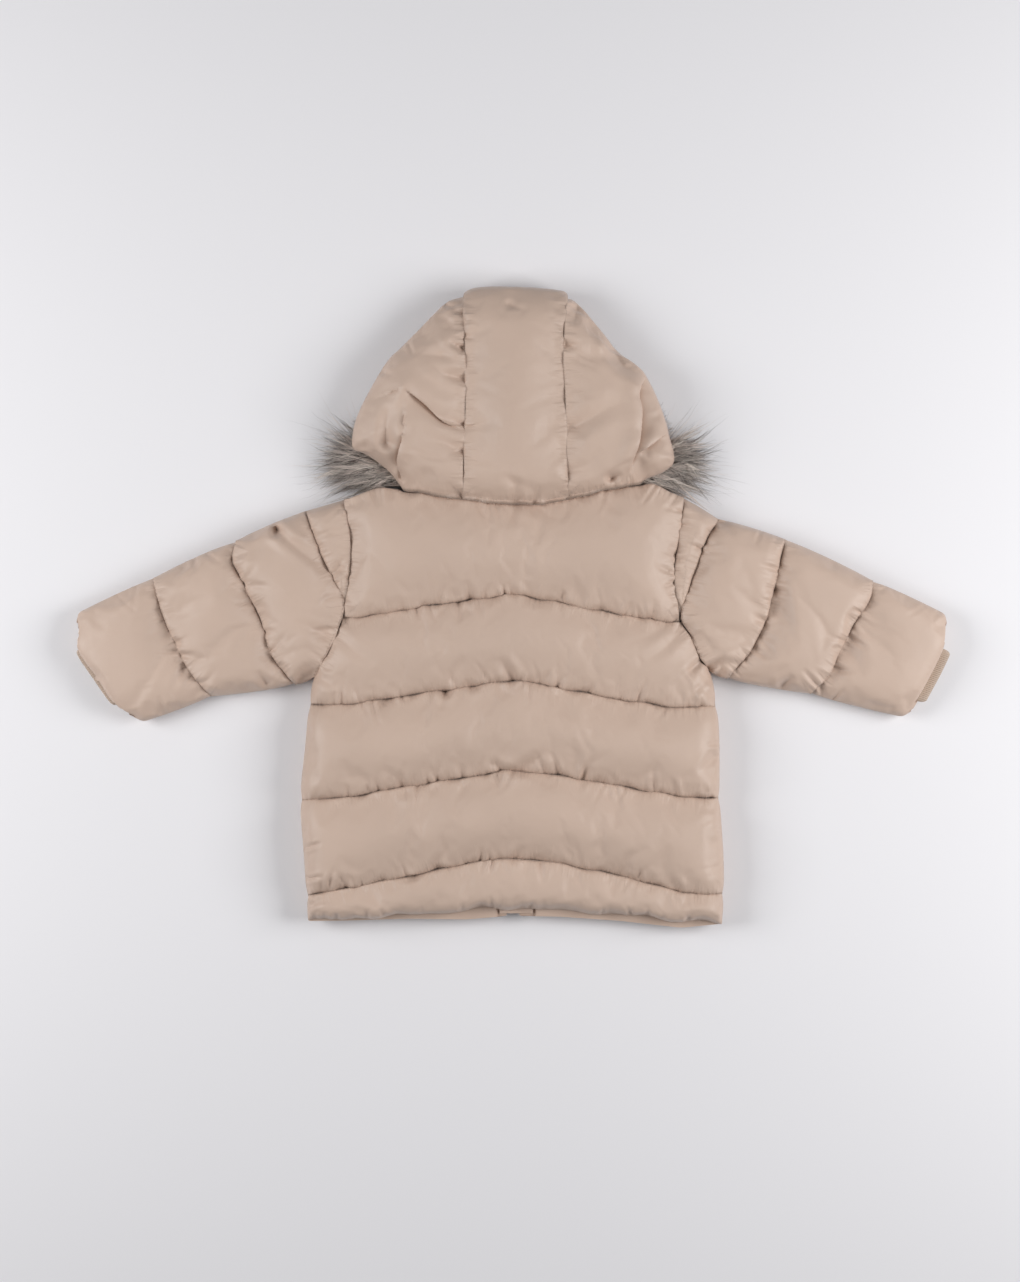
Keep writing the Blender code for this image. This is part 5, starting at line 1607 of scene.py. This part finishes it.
class PARKA_OT_stage(bpy.types.Operator):
    """Lay the floor and set the lights and the camera"""

    bl_idname = "parka.stage"
    bl_label = "Stage"

    def execute(self, context):
        form = context.scene.parka_stage
        deselect()
        bpy.ops.mesh.primitive_plane_add(size=60.0, location=(0.0, 0.0, 0.0))
        floor = context.object
        floor.name = "floor"
        matt, tree, shader = new_material("floor")
        fill_in(tree, shader, {"Base Color": (*form.floor_colour, 1.0), "Roughness": 0.75})
        floor.data.materials.append(matt)
        for (name, place), share in zip(LIGHTS.items(), (1.0, form.balance, form.head)):
            deselect()
            bpy.ops.object.light_add(type="AREA", location=place)
            light = context.object
            light.name = name
            light.data.size = LIGHT_SIZE
            light.data.energy = form.key_power * share
            aim = Vector((0.0, 0.0, 0.0)) - Vector(place)
            light.rotation_euler = aim.to_track_quat("-Z", "Y").to_euler()
        world = bpy.data.worlds.new("studio")
        world.use_nodes = True
        sky = world.node_tree.nodes["Background"]
        fill_in(world.node_tree, sky, {"Color": (0.97, 0.98, 1.0, 1.0), "Strength": form.sky})
        context.scene.world = world
        context.scene.view_settings.view_transform = "Standard"
        bpy.ops.object.camera_add(location=CAMERA, rotation=(0.0, 0.0, 0.0))
        camera = context.object
        camera.data.lens = LENS
        camera.data.sensor_width = SENSOR
        context.scene.camera = camera
        return {"FINISHED"}


class PARKA_PT_panel(bpy.types.Panel):
    """The parka's pieces"""

    bl_label = "Parka"
    bl_space_type = "VIEW_3D"
    bl_region_type = "UI"
    bl_category = "Parka"

    def draw(self, context):
        for name in ("shell_colour", "rib_colour", "tape_colour"):
            self.layout.prop(context.scene.parka_cloth, name)
        for name in ("clumps", "strands", "strays"):
            self.layout.prop(context.scene.parka_fur, name)
        for name in ("floor_colour", "key_power", "balance", "head", "sky"):
            self.layout.prop(context.scene.parka_stage, name)
        for step in STEPS:
            self.layout.operator(step.bl_idname)


STEPS = (PARKA_OT_stage, PARKA_OT_body, PARKA_OT_sleeves, PARKA_OT_cuffs, PARKA_OT_hood, PARKA_OT_fur,
         PARKA_OT_zip, PARKA_OT_stitching)
CLASSES = (ParkaCloth, ParkaFur, ParkaStage, *STEPS, PARKA_PT_panel)


def register():
    """Make the classes known and give the scene their settings."""
    for kind in CLASSES:
        bpy.utils.register_class(kind)
    bpy.types.Scene.parka_cloth = bpy.props.PointerProperty(type=ParkaCloth)
    bpy.types.Scene.parka_fur = bpy.props.PointerProperty(type=ParkaFur)
    bpy.types.Scene.parka_stage = bpy.props.PointerProperty(type=ParkaStage)


def unregister():
    """Undo register."""
    del bpy.types.Scene.parka_stage
    del bpy.types.Scene.parka_fur
    del bpy.types.Scene.parka_cloth
    for kind in reversed(CLASSES):
        bpy.utils.unregister_class(kind)


def main():
    """Dress the parka."""
    register()
    bpy.ops.parka.stage()
    bpy.ops.parka.body()
    bpy.ops.parka.sleeves()
    bpy.ops.parka.cuffs()
    bpy.ops.parka.hood()
    bpy.ops.parka.fur()
    bpy.ops.parka.zip()
    bpy.ops.parka.stitching()


if __name__ == "__main__":
    main()
